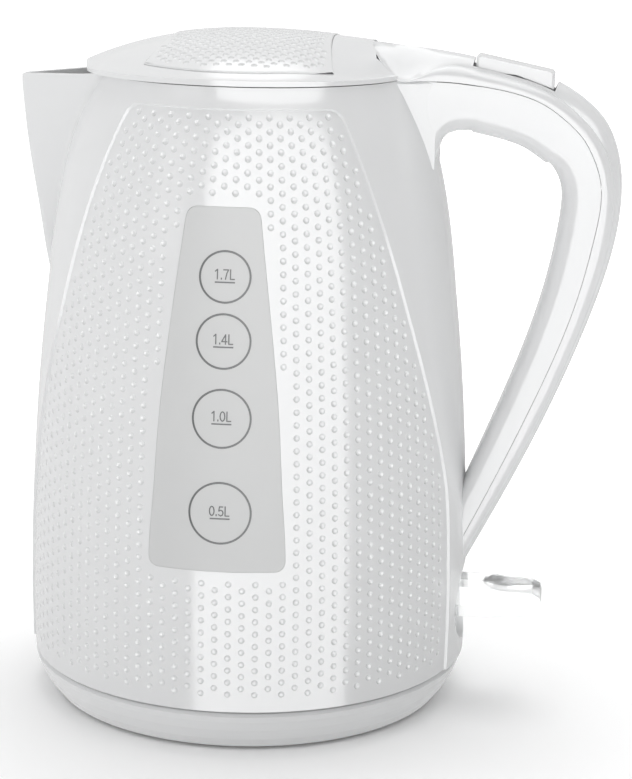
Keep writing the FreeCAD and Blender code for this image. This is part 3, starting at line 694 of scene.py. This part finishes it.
def ring_mark(skin, z, radius):
    """A ring printed round a volume mark."""
    rows = [[], [], [], []]
    for k in range(73):
        t = 2 * math.pi * k / 72
        for row, (reach, proud) in zip(rows, ((radius - LINE_WIDTH, 0.0),
                                              (radius - LINE_WIDTH, MARK_PROUD),
                                              (radius, MARK_PROUD), (radius, 0.0))):
            across = MARK_CENTRE + reach * math.cos(t)
            row.append(on_pane(across, z + reach * math.sin(t), proud))
    skin.grid(rows + [rows[0]], flip=True)


UNDERLINE = (6.5, 0.45)    # length and thickness


def underline(skin, z):
    width, height = UNDERLINE
    rows = []
    for dz, proud in ((0, 0), (0, MARK_PROUD), (height, MARK_PROUD), (height, 0)):
        rows.append([on_pane(MARK_CENTRE - width / 2 + width * k / 4, z - height + dz, proud)
                     for k in range(5)])
    skin.grid(rows)


# strokes of the figures, in millimetres from each figure's lower left corner
OVAL = [(0.9 + 0.75 * math.sin(t * math.pi / 8), 1.55 - 1.5 * math.cos(t * math.pi / 8))
        for t in range(17)]
FIGURES = {
    "1": [(0.35, 2.45), (1.05, 3.1), (1.05, 0.0)],
    "7": [(0.1, 3.0), (1.7, 3.0), (1.2, 2.0), (0.75, 0.0)],
    "4": [(1.3, 0.0), (1.3, 3.05), (0.05, 0.85), (1.8, 0.85)],
    "5": [(1.6, 3.0), (0.5, 3.0), (0.3, 1.6), (0.85, 1.9), (1.45, 1.65), (1.7, 1.0),
          (1.45, 0.3), (0.85, 0.02), (0.2, 0.4)],
    "0": OVAL,
    "L": [(0.3, 3.1), (0.3, 0.05), (1.6, 0.05)],
    ".": [(0.3, 0.0), (0.3, 0.4)],
}
ADVANCE = {".": 0.85}
STROKE = 0.19              # half the width of a stroke


def stroke(skin, start, end):
    """One straight stroke, as a low block on the window's face."""
    along = np.array(end) - np.array(start)
    along = along / np.linalg.norm(along)
    side = np.array([-along[1], along[0]]) * STROKE
    first, last = np.array(start) - along * STROKE * 0.6, np.array(end) + along * STROKE * 0.6
    flat = [first - side, last - side, last + side, first + side]
    top = [on_pane(p[0], p[1], MARK_PROUD) for p in flat]
    low = [on_pane(p[0], p[1], 0.0) for p in flat]
    skin.face(top)
    skin.face(low[::-1])
    for k in range(4):
        skin.face([low[k], low[(k + 1) % 4], top[(k + 1) % 4], top[k]])


def volume_figures(text, z):
    """A volume mark: figures drawn with strokes on the window's face."""
    skin = Skin()
    width = sum(ADVANCE.get(letter, 2.05) for letter in text)
    x = MARK_CENTRE - width / 2
    for letter in text:
        path = [(x + px, z + 0.75 + py) for px, py in FIGURES[letter]]
        for start, end in zip(path, path[1:]):
            stroke(skin, start, end)
        x += ADVANCE.get(letter, 2.05)
    return skin


def window_marks():
    skin = Skin()
    for centre, radius, line_z, _ in MARKS:
        ring_mark(skin, centre, radius)
        underline(skin, line_z)
    marks = skin.build("window_marks")
    pieces = [marks]
    for k, (_, _, line_z, text) in enumerate(MARKS):
        pieces.append(volume_figures(text, line_z).build(f"window_figures_{k + 1}"))
    return pieces


# ------------------------------------------------------------------ the handle
# The handle's back, from the tongue on the lid to the tail, as (x, z).
RIDGE = [(39.5, 230.3), (44.5, 229.8), (50, 229.2), (56, 228.6), (62.5, 227.9), (70, 226.7),
         (75.1, 225.7), (84, 223.9), (92.8, 221.9), (103.3, 218.3), (109.1, 215.0),
         (114.2, 211.2), (119.2, 206.0), (123.4, 197.5), (125.6, 186.5), (125.6, 176.0),
         (124.3, 165.6), (118.9, 144.7), (111.4, 123.4), (101.1, 98.4), (88.5, 71.8),
         (77.0, 49.2)]
BEND = 12                  # the ridge point where the handle turns down
COVER_THICK = 1.9
TONGUE_THICK = 0.9         # the cover's wall over the lid's hinge
SEAM_GAP = 0.16
OPENING_X = (74.9, 103.2)      # opening for the lid button
OPENING_HALF = 6.6
GROOVE_HALF = 7.3              # half width of the raised back between its two grooves


def along_ridge():
    """Distance along the ridge of each of its points."""
    steps = [math.dist(p, q) for p, q in zip(RIDGE, RIDGE[1:])]
    return [sum(steps[:k]) for k in range(len(RIDGE))]


RIDGE_AT = along_ridge()
ridge = spline([(at, x, z) for at, (x, z) in zip(RIDGE_AT, RIDGE)])


def by_ridge(rows):
    """A curve of values against distance along the ridge, given (index of ridge point, value)."""
    return spline([(RIDGE_AT[k], value) for k, value in rows])


groove_half = by_ridge([(0, 9.5), (1, 15.2), (2, 16.9), (3, 16.0), (4, 11.2), (5, 7.6),
                        (6, GROOVE_HALF), (8, GROOVE_HALF), (14, GROOVE_HALF), (18, 6.8),
                        (21, 5.0)])
groove_depth = by_ridge([(0, 2.4), (1, 5.4), (2, 9.8), (3, 9.5), (4, 5.8), (5, 3.3), (6, 3.3),
                         (8, 3.6), (10, 4.5), (12, 4.8), (13, 3.8), (15, 2.2), (17, 1.6),
                         (21, 1.2)])
seam_half = by_ridge([(0, 9.8), (1, 15.5), (2, 17.2), (3, 16.6), (4, 14.2), (5, 12.8),
                      (6, 12.3), (9, 12.2), (15, 12.2), (18, 11.2), (20, 9.2), (21, 8.1)])
seam_depth = by_ridge([(0, 2.7), (1, 5.8), (2, 10.4), (3, 10.3), (4, 9.6), (5, 8.8), (6, 8.3),
                       (8, 7.6), (11, 8.8), (13, 8.3), (14, 7.1), (16, 7.4), (17, 6.8),
                       (19, 6.4), (20, 5.8), (21, 5.2)])
handle_thick = by_ridge([(5, 24.8), (6, 24.5), (9, 24.6), (12, 24.0), (13, 22.5), (14, 20.7),
                         (16, 20.0), (17, 18.7), (18, 17.4), (19, 16.4), (20, 14.6),
                         (21, 12.6)])
handle_half = by_ridge([(5, 13.3), (6, 13.2), (9, 13.0), (14, 13.0), (16, 12.9), (18, 11.9),
                        (20, 9.9), (21, 8.6)])

# The belly's root on the jug: seam point, underside point, half widths at each.
ROOT_ROWS = [((58.6, 218.2), (62.6, 186.0), 15.4, 12.5),
             ((61.0, 218.3), (63.0, 190.5), 15.0, 13.0),
             ((63.5, 218.2), (63.6, 195.0), 14.5, 13.4),
             ((66.0, 218.1), (64.8, 198.2), 14.0, 13.7),
             ((69.0, 217.9), (66.8, 200.3), 13.6, 13.7),
             ((72.0, 217.6), (70.0, 201.4), 13.4, 13.4),
             ((75.5, 217.2), (74.5, 201.5), 13.2, 13.2)]
BELLY = [(0.945, 0.0), (0.985, 0.12), (1.0, 0.3), (1.0, 0.5), (0.965, 0.7), (0.86, 0.86),
         (0.66, 0.955), (0.35, 0.99), (0.0, 1.0)]


def ridge_frame(at):
    """The ridge's point and the direction from it into the handle."""
    x, z = ridge(at)
    ahead, behind = ridge(min(at + 1.0, RIDGE_AT[-1])), ridge(max(at - 1.0, 0.0))
    along = np.array(ahead) - np.array(behind)
    along = along / np.linalg.norm(along)
    return np.array([x, z]), np.array([along[1], -along[0]]), along


def place_in(frame_at, y, depth, forward):
    point, into, along = frame_at
    x, z = point + into * depth + along * forward
    return (float(x), float(y), float(z))


def cover_rows(inner):
    """The cover's outer or inner skin: rows along the ridge, columns from +Y to -Y."""
    starts = span(0, RIDGE_AT[-1], 3.0)
    before_bend = [k for k, at in enumerate(starts) if at < RIDGE_AT[BEND]]
    for edge in OPENING_X:
        nearest = min(before_bend, key=lambda k: abs(ridge(starts[k])[0] - edge))
        low, high = starts[nearest] - 3, starts[nearest] + 3
        for _ in range(30):
            middle = (low + high) / 2
            low, high = (middle, high) if ridge(middle)[0] < edge else (low, middle)
        starts[nearest] = middle
    rows = []
    for at in starts:
        frame_at = ridge_frame(at)
        half, deep = groove_half(at), groove_depth(at)
        seam_y, seam_d = seam_half(at) - SEAM_GAP / 2, seam_depth(at) - SEAM_GAP
        handle_like = smooth((frame_at[0][0] - 52.0) / 20.0) if at < RIDGE_AT[BEND] else 1.0
        nose = max(0.0, 1 - at / 6.0)
        profile = []
        for k in (0.0, 0.25, 0.5, 0.7, 0.83, OPENING_HALF / GROOVE_HALF, 0.96, 1.0):
            bell, cubic = 1 - (1 - k * k) ** 3, k ** 3
            profile.append((half * k, deep * (bell + (cubic - bell) * handle_like), k * k))
        for share in (0.2, 0.45, 0.7, 0.88, 1.0):
            turn = share * math.pi / 2
            profile.append((half + (seam_y - half) * math.sin(turn),
                            deep + (seam_d - deep) * (1 - math.cos(turn)), 1.0))
        row = []
        for y, depth, lag in profile:
            if inner:
                thick = TONGUE_THICK + (COVER_THICK - TONGUE_THICK) * smooth((at - 22) / 16)
                y -= thick * smooth((y / seam_y - 0.5) / 0.5)
                depth = min(depth + thick, seam_d)
            row.append((y, depth, nose * lag * 2.4))
        full = [(y, d, f) for y, d, f in row[::-1]] + [(-y, d, f) for y, d, f in row[1:]]
        rows.append([place_in(frame_at, y, d, f) for y, d, f in full])
    return starts, rows


def shell(skin, outer, inner, is_open):
    """A wall between two grids of points, closed round its edges and round what is left open."""
    rows, columns = len(outer) - 1, len(outer[0]) - 1

    def solid(r, c):
        return 0 <= r < rows and 0 <= c < columns and not is_open(r, c)
    for r in range(rows):
        for c in range(columns):
            if not solid(r, c):
                continue
            ring = [(r, c), (r, c + 1), (r + 1, c + 1), (r + 1, c)]
            skin.face([outer[i][j] for i, j in ring])
            skin.face([inner[i][j] for i, j in ring[::-1]])
            beside = [(r - 1, c), (r, c + 1), (r + 1, c), (r, c - 1)]
            for n, neighbour in enumerate(beside):
                if not solid(*neighbour):
                    (i, j), (p, q) = ring[n], ring[(n + 1) % 4]
                    skin.face([outer[p][q], outer[i][j], inner[i][j], inner[p][q]])


def handle_cover_piece():
    """The outside half of the handle, with the tongue on the lid and the button's opening."""
    starts, outer = cover_rows(False)
    _, inner = cover_rows(True)
    skin = Skin()

    def is_open(r, c):
        middle = (starts[r] + starts[r + 1]) / 2
        in_length = OPENING_X[0] < ridge(middle)[0] < OPENING_X[1] and middle < RIDGE_AT[BEND]
        across = sum(p[1] for p in (outer[r][c], outer[r][c + 1])) / 2
        return in_length and abs(across) < OPENING_HALF
    shell(skin, outer, inner, is_open)
    return skin.build("handle_cover_skin", 28.0)


def handle_belly_piece():
    """The inside half of the handle, moulded with the jug."""
    stations = list(ROOT_ROWS)
    for at in span(RIDGE_AT[6] + 5, RIDGE_AT[-1], 3.2):
        point, into, _ = ridge_frame(at)
        seam = point + into * seam_depth(at)
        under = point + into * handle_thick(at)
        half = handle_half(at)
        stations.append((tuple(seam), tuple(under), half, half))
    rings = []
    for seam, under, upper, lower in stations:
        half_ring = [((upper + (lower - upper) * deep ** 1.5) * across, deep)
                     for across, deep in BELLY]
        ring = half_ring + [(-y, d) for y, d in half_ring[-2::-1]]
        ring += [(-0.5 * upper, 0.0), (0.5 * upper, 0.0)]
        rings.append([(float(seam[0] + (under[0] - seam[0]) * d), float(y),
                       float(seam[1] + (under[1] - seam[1]) * d)) for y, d in ring])
    skin = Skin()
    skin.grid([ring + [ring[0]] for ring in rings], flip=True)
    skin.face(rings[0])
    skin.face(rings[-1][::-1])
    return skin.build("handle_belly", 40.0)


def handle_cheek(side):
    """Fills the handle's root beside the hinge pocket; side is 1 at the back, -1 in front."""
    skin = Skin()
    rings = []
    for x, out, low in ((45.0, 19.6, 203.0), (49.0, 18.0, 202.0), (54.0, 16.8, 200.0),
                        (58.5, 15.6, 192.0), (63.0, 13.6, 189.0)):
        within = min(14.6, out - 1.0)
        corners = [(within, low), (out, low), (out, 212.0), (out, RIM_Z - 0.9),
                   (out - 0.8, RIM_Z), (within, RIM_Z)]
        rings.append([(x, side * y, z) for y, z in corners])
    skin.grid([ring + [ring[0]] for ring in rings], flip=side > 0)
    skin.face(rings[0][::1 if side > 0 else -1])
    skin.face(rings[-1][::-1 if side > 0 else 1])
    return skin.build("handle_cheek_" + ("back" if side > 0 else "front"), 40.0)


def prism(skin, outline, half, edge=0.5):
    """A side-on outline of (x, z) made into a block across the handle, with broken edges."""
    middle = np.mean(np.array(outline), axis=0)
    small = [tuple(middle + (np.array(p) - middle) * (1 - edge / 8)) for p in outline]
    rows = []
    for line, y in ((small, -half), (outline, edge - half), (outline, half - edge),
                    (small, half)):
        rows.append([(x, y, z) for x, z in line + [line[0]]])
    skin.grid(rows)
    skin.face(rows[0][:-1][::-1])
    skin.face(rows[-1][:-1])


def button_piece():
    """The lid button: a sloping key with a stem below its back end."""
    skin = Skin()
    prism(skin, [(75.5, 221.8), (75.5, 226.2), (76.3, 226.8), (101.0, 221.9), (101.7, 221.2),
                 (101.6, 216.2), (89.0, 220.6)], 6.0)
    prism(skin, [(96.0, 208.9), (96.0, 220.2), (98.3, 219.9), (98.3, 208.9)], 2.4, 0.2)
    return skin.build("button_key", 30.0)


# ------------------------------------------------------------------ the lid's insert
INSERT_R = 48.3
INSERT_RISE = 0.45
INSERT_DEEP = 1.2
INSERT_BEVEL = 0.3
INSERT_SIDE = 27.2
INSERT_FLARE = 4.0
LID_PITCH_X = 4.1
LID_PITCH_Y = 4.6


def lid_height(x, y):
    """Height of the lid's crowned top."""
    top = 232.9 - 11.2 * (-x / 58) ** 2.3 if x < 0 else 232.9 - 0.8 * (x / 22) ** 1.77
    reach = 57.3 if x < 0 else 53.5
    half = max(53.5 * math.sqrt(max(1 - (x / reach) ** 2, 0.0)), 17.0)
    power = 1 + 2 * min(max((x - 15) / 33, 0.0), 1.0) ** 2
    return 220.4 + (top - 220.4) * max(1 - (y / half) ** 2, 0.0) ** power


def insert_outline(inset=0.0):
    radius, side = INSERT_R - inset, INSERT_SIDE - inset
    corner_y = math.sqrt(radius ** 2 - (side + INSERT_FLARE) ** 2)
    right = [(side + INSERT_FLARE * (y / corner_y) ** 2, y)
             for y in span(-corner_y, corner_y, 3.0)]
    turn = math.atan2(corner_y, side + INSERT_FLARE)
    back = [(radius * math.cos(t), radius * math.sin(t))
            for t in np.linspace(turn, math.pi - turn, 20)][1:-1]
    ring = right + back
    ring = ring + [(-x, -y) for x, y in ring]
    return ring + [ring[0]]


def lid_normal(x, y):
    step = 0.3
    across = (lid_height(x + step, y) - lid_height(x - step, y)) / (2 * step)
    along = (lid_height(x, y + step) - lid_height(x, y - step)) / (2 * step)
    return Vector((-across, -along, 1.0)).normalized()


def lid_insert_piece():
    skin = Skin()
    outer, inner = insert_outline(), insert_outline(0.4)
    room = insert_outline(2.3)
    sites = []
    for column in range(-8, 9):
        for row in range(-12, 13):
            for shift in (0.0, 0.5):
                x, y = (column + shift) * LID_PITCH_X, (row + shift) * LID_PITCH_Y
                if inside_outline(room, x, y):
                    sites.append((x, y))
    chains = [inner]
    for x, y in sites:
        chains.append([(x + DIMPLE_R * math.cos(2 * math.pi * k / DIMPLE_SIDES),
                        y + DIMPLE_R * math.sin(2 * math.pi * k / DIMPLE_SIDES))
                       for k in range(DIMPLE_SIDES + 1)])
    spots = np.array(sites)

    def keep(x, y):
        near = np.min(np.hypot(spots[:, 0] - x, spots[:, 1] - y))
        return near > DIMPLE_R * 0.95 and inside_outline(inner, x, y)
    for triangle in fill(chains, [], keep):
        skin.face([(x, y, lid_height(x, y) + INSERT_RISE) for x, y in triangle],
                  [lid_normal(x, y) for x, y in triangle])
    for x, y in sites:
        axes = (lid_normal(x, y), Vector((1, 0, 0)), Vector((0, 1, 0)))

        def place(u, v, drop):
            return (x + u, y + v, lid_height(x + u, y + v) + INSERT_RISE - drop)
        hollow(skin, place, lambda u, v: axes)
    edges = [[(x, y, lid_height(x, y) + rise) for x, y in outline]
             for outline, rise in ((inner, INSERT_RISE), (outer, INSERT_RISE - INSERT_BEVEL),
                                   (outer, -INSERT_DEEP))]
    skin.grid(edges, flip=True)
    skin.face(edges[-1][-2::-1])
    return skin.build("lid_insert_skin")


# ------------------------------------------------------------------ materials
def material(name, colour, roughness, vary=0.03, rough_vary=0.05, bump=0.03, scale=60.0,
             metallic=0.0, transmission=0.0, stretch=(1, 1, 1), ior=1.5):
    """A finish with slight changes of colour, gloss and height, as moulded goods have."""
    made = bpy.data.materials.new(name)
    made.use_nodes = True
    nodes, links = made.node_tree.nodes, made.node_tree.links
    shader = nodes["Principled BSDF"]
    shader.inputs["Metallic"].default_value = metallic
    shader.inputs["Transmission Weight"].default_value = transmission
    shader.inputs["IOR"].default_value = ior
    place = nodes.new("ShaderNodeTexCoord")
    mapping = nodes.new("ShaderNodeMapping")
    mapping.inputs["Scale"].default_value = stretch
    links.new(place.outputs["Object"], mapping.inputs["Vector"])
    broad = nodes.new("ShaderNodeTexNoise")
    broad.inputs["Scale"].default_value = scale
    broad.inputs["Detail"].default_value = 4.0
    fine = nodes.new("ShaderNodeTexNoise")
    fine.inputs["Scale"].default_value = scale * 22
    fine.inputs["Detail"].default_value = 2.0
    for noise in (broad, fine):
        links.new(mapping.outputs["Vector"], noise.inputs["Vector"])
    ramp = nodes.new("ShaderNodeMix")
    ramp.data_type = "RGBA"
    low = tuple(c * (1 - vary) for c in colour)
    ramp.inputs["A"].default_value = (*low, 1)
    ramp.inputs["B"].default_value = (*colour, 1)
    links.new(broad.outputs["Fac"], ramp.inputs["Factor"])
    links.new(ramp.outputs["Result"], shader.inputs["Base Color"])
    gloss = nodes.new("ShaderNodeMapRange")
    gloss.inputs["To Min"].default_value = max(roughness - rough_vary, 0.02)
    gloss.inputs["To Max"].default_value = roughness + rough_vary
    links.new(broad.outputs["Fac"], gloss.inputs["Value"])
    links.new(gloss.outputs["Result"], shader.inputs["Roughness"])
    height = nodes.new("ShaderNodeBump")
    height.inputs["Strength"].default_value = bump
    height.inputs["Distance"].default_value = 0.0002
    links.new(fine.outputs["Fac"], height.inputs["Height"])
    links.new(height.outputs["Normal"], shader.inputs["Normal"])
    return made


FINISHES = {
    "white_gloss": material("white gloss plastic", (0.70, 0.705, 0.71), 0.16),
    "white_matte": material("white matt plastic", (0.7, 0.705, 0.7), 0.42, bump=0.12),
    "window_grey": material("window plastic", (0.57, 0.575, 0.575), 0.42, ior=1.3),
    "clear_plastic": material("clear lever plastic", (0.93, 0.94, 0.94), 0.06, transmission=0.92,
                              ior=1.49),
    "black_plastic": material("black plastic", (0.02, 0.02, 0.022), 0.42, vary=0.3, bump=0.15),
    "steel": material("rolled steel", (0.62, 0.62, 0.6), 0.24, metallic=1.0, vary=0.08,
                      stretch=(1, 14, 1), bump=0.1),
    "contact_brass": material("contact brass", (0.72, 0.55, 0.26), 0.28, metallic=1.0, vary=0.15),
    "heater_aluminium": material("cast aluminium", (0.52, 0.53, 0.54), 0.45, metallic=1.0,
                                 vary=0.12, bump=0.25, scale=90),
    "silicone": material("silicone", (0.62, 0.62, 0.6), 0.55, vary=0.08, bump=0.12),
    "foot_rubber": material("foot rubber", (0.09, 0.09, 0.09), 0.7, vary=0.25, bump=0.3),
    "filter_nylon": material("filter nylon", (0.6, 0.6, 0.57), 0.5, vary=0.08, bump=0.15),
}
MARK_INK = material("mark ink", (0.075, 0.078, 0.08), 0.4, vary=0.15)


def wear(piece, slot):
    piece.data.materials.clear()
    piece.data.materials.append(FINISHES[slot])


def dress_frame():
    """Each CAD node keeps its shape and gets the finish that the record gives it."""
    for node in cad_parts.values():
        given = node.data.materials[0].name if node.data.materials else "white_gloss"
        slot = next((s for s in FINISHES if given.startswith(s)), "white_gloss")
        for holder in node.material_slots:
            holder.material = FINISHES[slot]


# ------------------------------------------------------------------ studio
def area_light(name, place, aim, size, power, size_y=None):
    data = bpy.data.lights.new(name, "AREA")
    data.shape = "RECTANGLE"
    data.size = size
    data.size_y = size_y or size
    data.energy = power
    lamp = bpy.data.objects.new(name, data)
    lamp.location = place
    direction = Vector(aim) - Vector(place)
    lamp.rotation_euler = direction.to_track_quat("-Z", "Y").to_euler()
    bpy.context.scene.collection.objects.link(lamp)
    return lamp


def sweep_with_painted_glow():
    """A pale sweep that glows by its own emission, more the further it is from the kettle, so that
    it fades to white: painted light, with painted shade left round the kettle.
    """
    made = material("pale sweep", (0.95, 0.95, 0.95), 0.85, vary=0.004, bump=0.0)
    nodes, links = made.node_tree.nodes, made.node_tree.links
    place = nodes.new("ShaderNodeNewGeometry")
    length = nodes.new("ShaderNodeVectorMath")
    length.operation = "LENGTH"
    links.new(place.outputs["Position"], length.inputs[0])
    # Painted glow: the sweep emits light, none within 0.1 m of the kettle's middle, rising to 0.5
    # at 0.5 m, so the floor round the kettle stays darker as painted shade.
    painted_glow = nodes.new("ShaderNodeMapRange")
    painted_glow.interpolation_type = "SMOOTHSTEP"
    for name, value in (("From Min", 0.1), ("From Max", 0.5), ("To Min", 0.0), ("To Max", 0.5)):
        painted_glow.inputs[name].default_value = value
    links.new(length.outputs["Value"], painted_glow.inputs["Value"])
    shader = nodes["Principled BSDF"]
    shader.inputs["Emission Color"].default_value = (1, 1, 1, 1)
    links.new(painted_glow.outputs["Result"], shader.inputs["Emission Strength"])
    return made


def studio():
    scene = bpy.context.scene
    scene.view_settings.view_transform = "Standard"
    world = bpy.data.worlds.new("studio")
    world.use_nodes = True
    background = world.node_tree.nodes["Background"]
    background.inputs["Color"].default_value = (1, 1, 1, 1)
    # The surroundings are brighter on the spout's side than on the handle's.
    where = world.node_tree.nodes.new("ShaderNodeTexCoord")
    parts = world.node_tree.nodes.new("ShaderNodeSeparateXYZ")
    level = world.node_tree.nodes.new("ShaderNodeMapRange")
    for name, value in (("From Min", -0.7), ("From Max", 0.9), ("To Min", 0.84),
                        ("To Max", 0.52)):
        level.inputs[name].default_value = value
    links = world.node_tree.links
    links.new(where.outputs["Generated"], parts.inputs["Vector"])
    links.new(parts.outputs["X"], level.inputs["Value"])
    links.new(level.outputs["Result"], background.inputs["Strength"])
    scene.world = world
    area_light("overhead softbox", (0.1, 0.35, 1.4), (0, 0, 0.1), 1.1, 10.0)
    area_light("left softbox", (-1.5, -1.6, 0.9), (0, 0, 0.12), 0.8, 3.0, size_y=1.2)
    # A wide card that only shows as a reflection in the glossy plastic.
    card_deg, card_far = math.radians(-70.0), 2.0
    place = (card_far * math.cos(card_deg), card_far * math.sin(card_deg), 0.2)
    card = area_light("reflection card", place, (0, 0, 0.2), 3.35, 205.0, size_y=3.6)
    card.visible_diffuse = False
    bpy.ops.mesh.primitive_plane_add(size=40.0, location=(0, 0, 0))
    floor = bpy.context.object
    floor.name = "studio_floor"
    floor.visible_glossy = False
    # The floor's finish glows by its own emission away from the kettle: painted light.
    floor.data.materials.append(sweep_with_painted_glow())


CAMERA_PLACE = Vector((113.1, -756.8, 291.9)) * MM
CAMERA_RIGHT = Vector((0.9923, 0.1226, 0.0177))
CAMERA_BACK = Vector((0.1151, -0.9653, 0.2342))
CAMERA_LENS = 103.16


def camera():
    data = bpy.data.cameras.new("camera")
    data.lens = CAMERA_LENS
    data.sensor_width = 36.0
    data.clip_end = 60.0
    view = bpy.data.objects.new("camera", data)
    right = CAMERA_RIGHT.normalized()
    back = (CAMERA_BACK - right * CAMERA_BACK.dot(right)).normalized()
    up = back.cross(right)
    turn = Matrix((right, up, back)).transposed().to_4x4()
    view.matrix_world = Matrix.Translation(CAMERA_PLACE) @ turn
    bpy.context.scene.collection.objects.link(view)
    bpy.context.scene.camera = view


# ------------------------------------------------------------------ put together
dress_frame()

jug = jug_body()
wear(jug, "white_gloss")
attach(jug, "jug")
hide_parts("jug_shell")

pane = water_window()
wear(pane, "window_grey")
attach(pane, "jug")
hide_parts("water_window")

for mark in window_marks():
    mark.data.materials.clear()
    mark.data.materials.append(MARK_INK)
    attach(mark, "jug")

cover = handle_cover_piece()
wear(cover, "white_gloss")
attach(cover, "jug")
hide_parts("handle_cover")

belly = handle_belly_piece()
wear(belly, "white_gloss")
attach(belly, "jug")
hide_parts("jug_shell")

for side in (1, -1):
    cheek = handle_cheek(side)
    wear(cheek, "white_gloss")
    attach(cheek, "jug")
    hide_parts("jug_shell")

insert = lid_insert_piece()
wear(insert, "white_gloss")
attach(insert, "lid")
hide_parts("lid_insert")

key = button_piece()
wear(key, "white_gloss")
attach(key, "button")
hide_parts("lid_button", "button_pin")

studio()
camera()
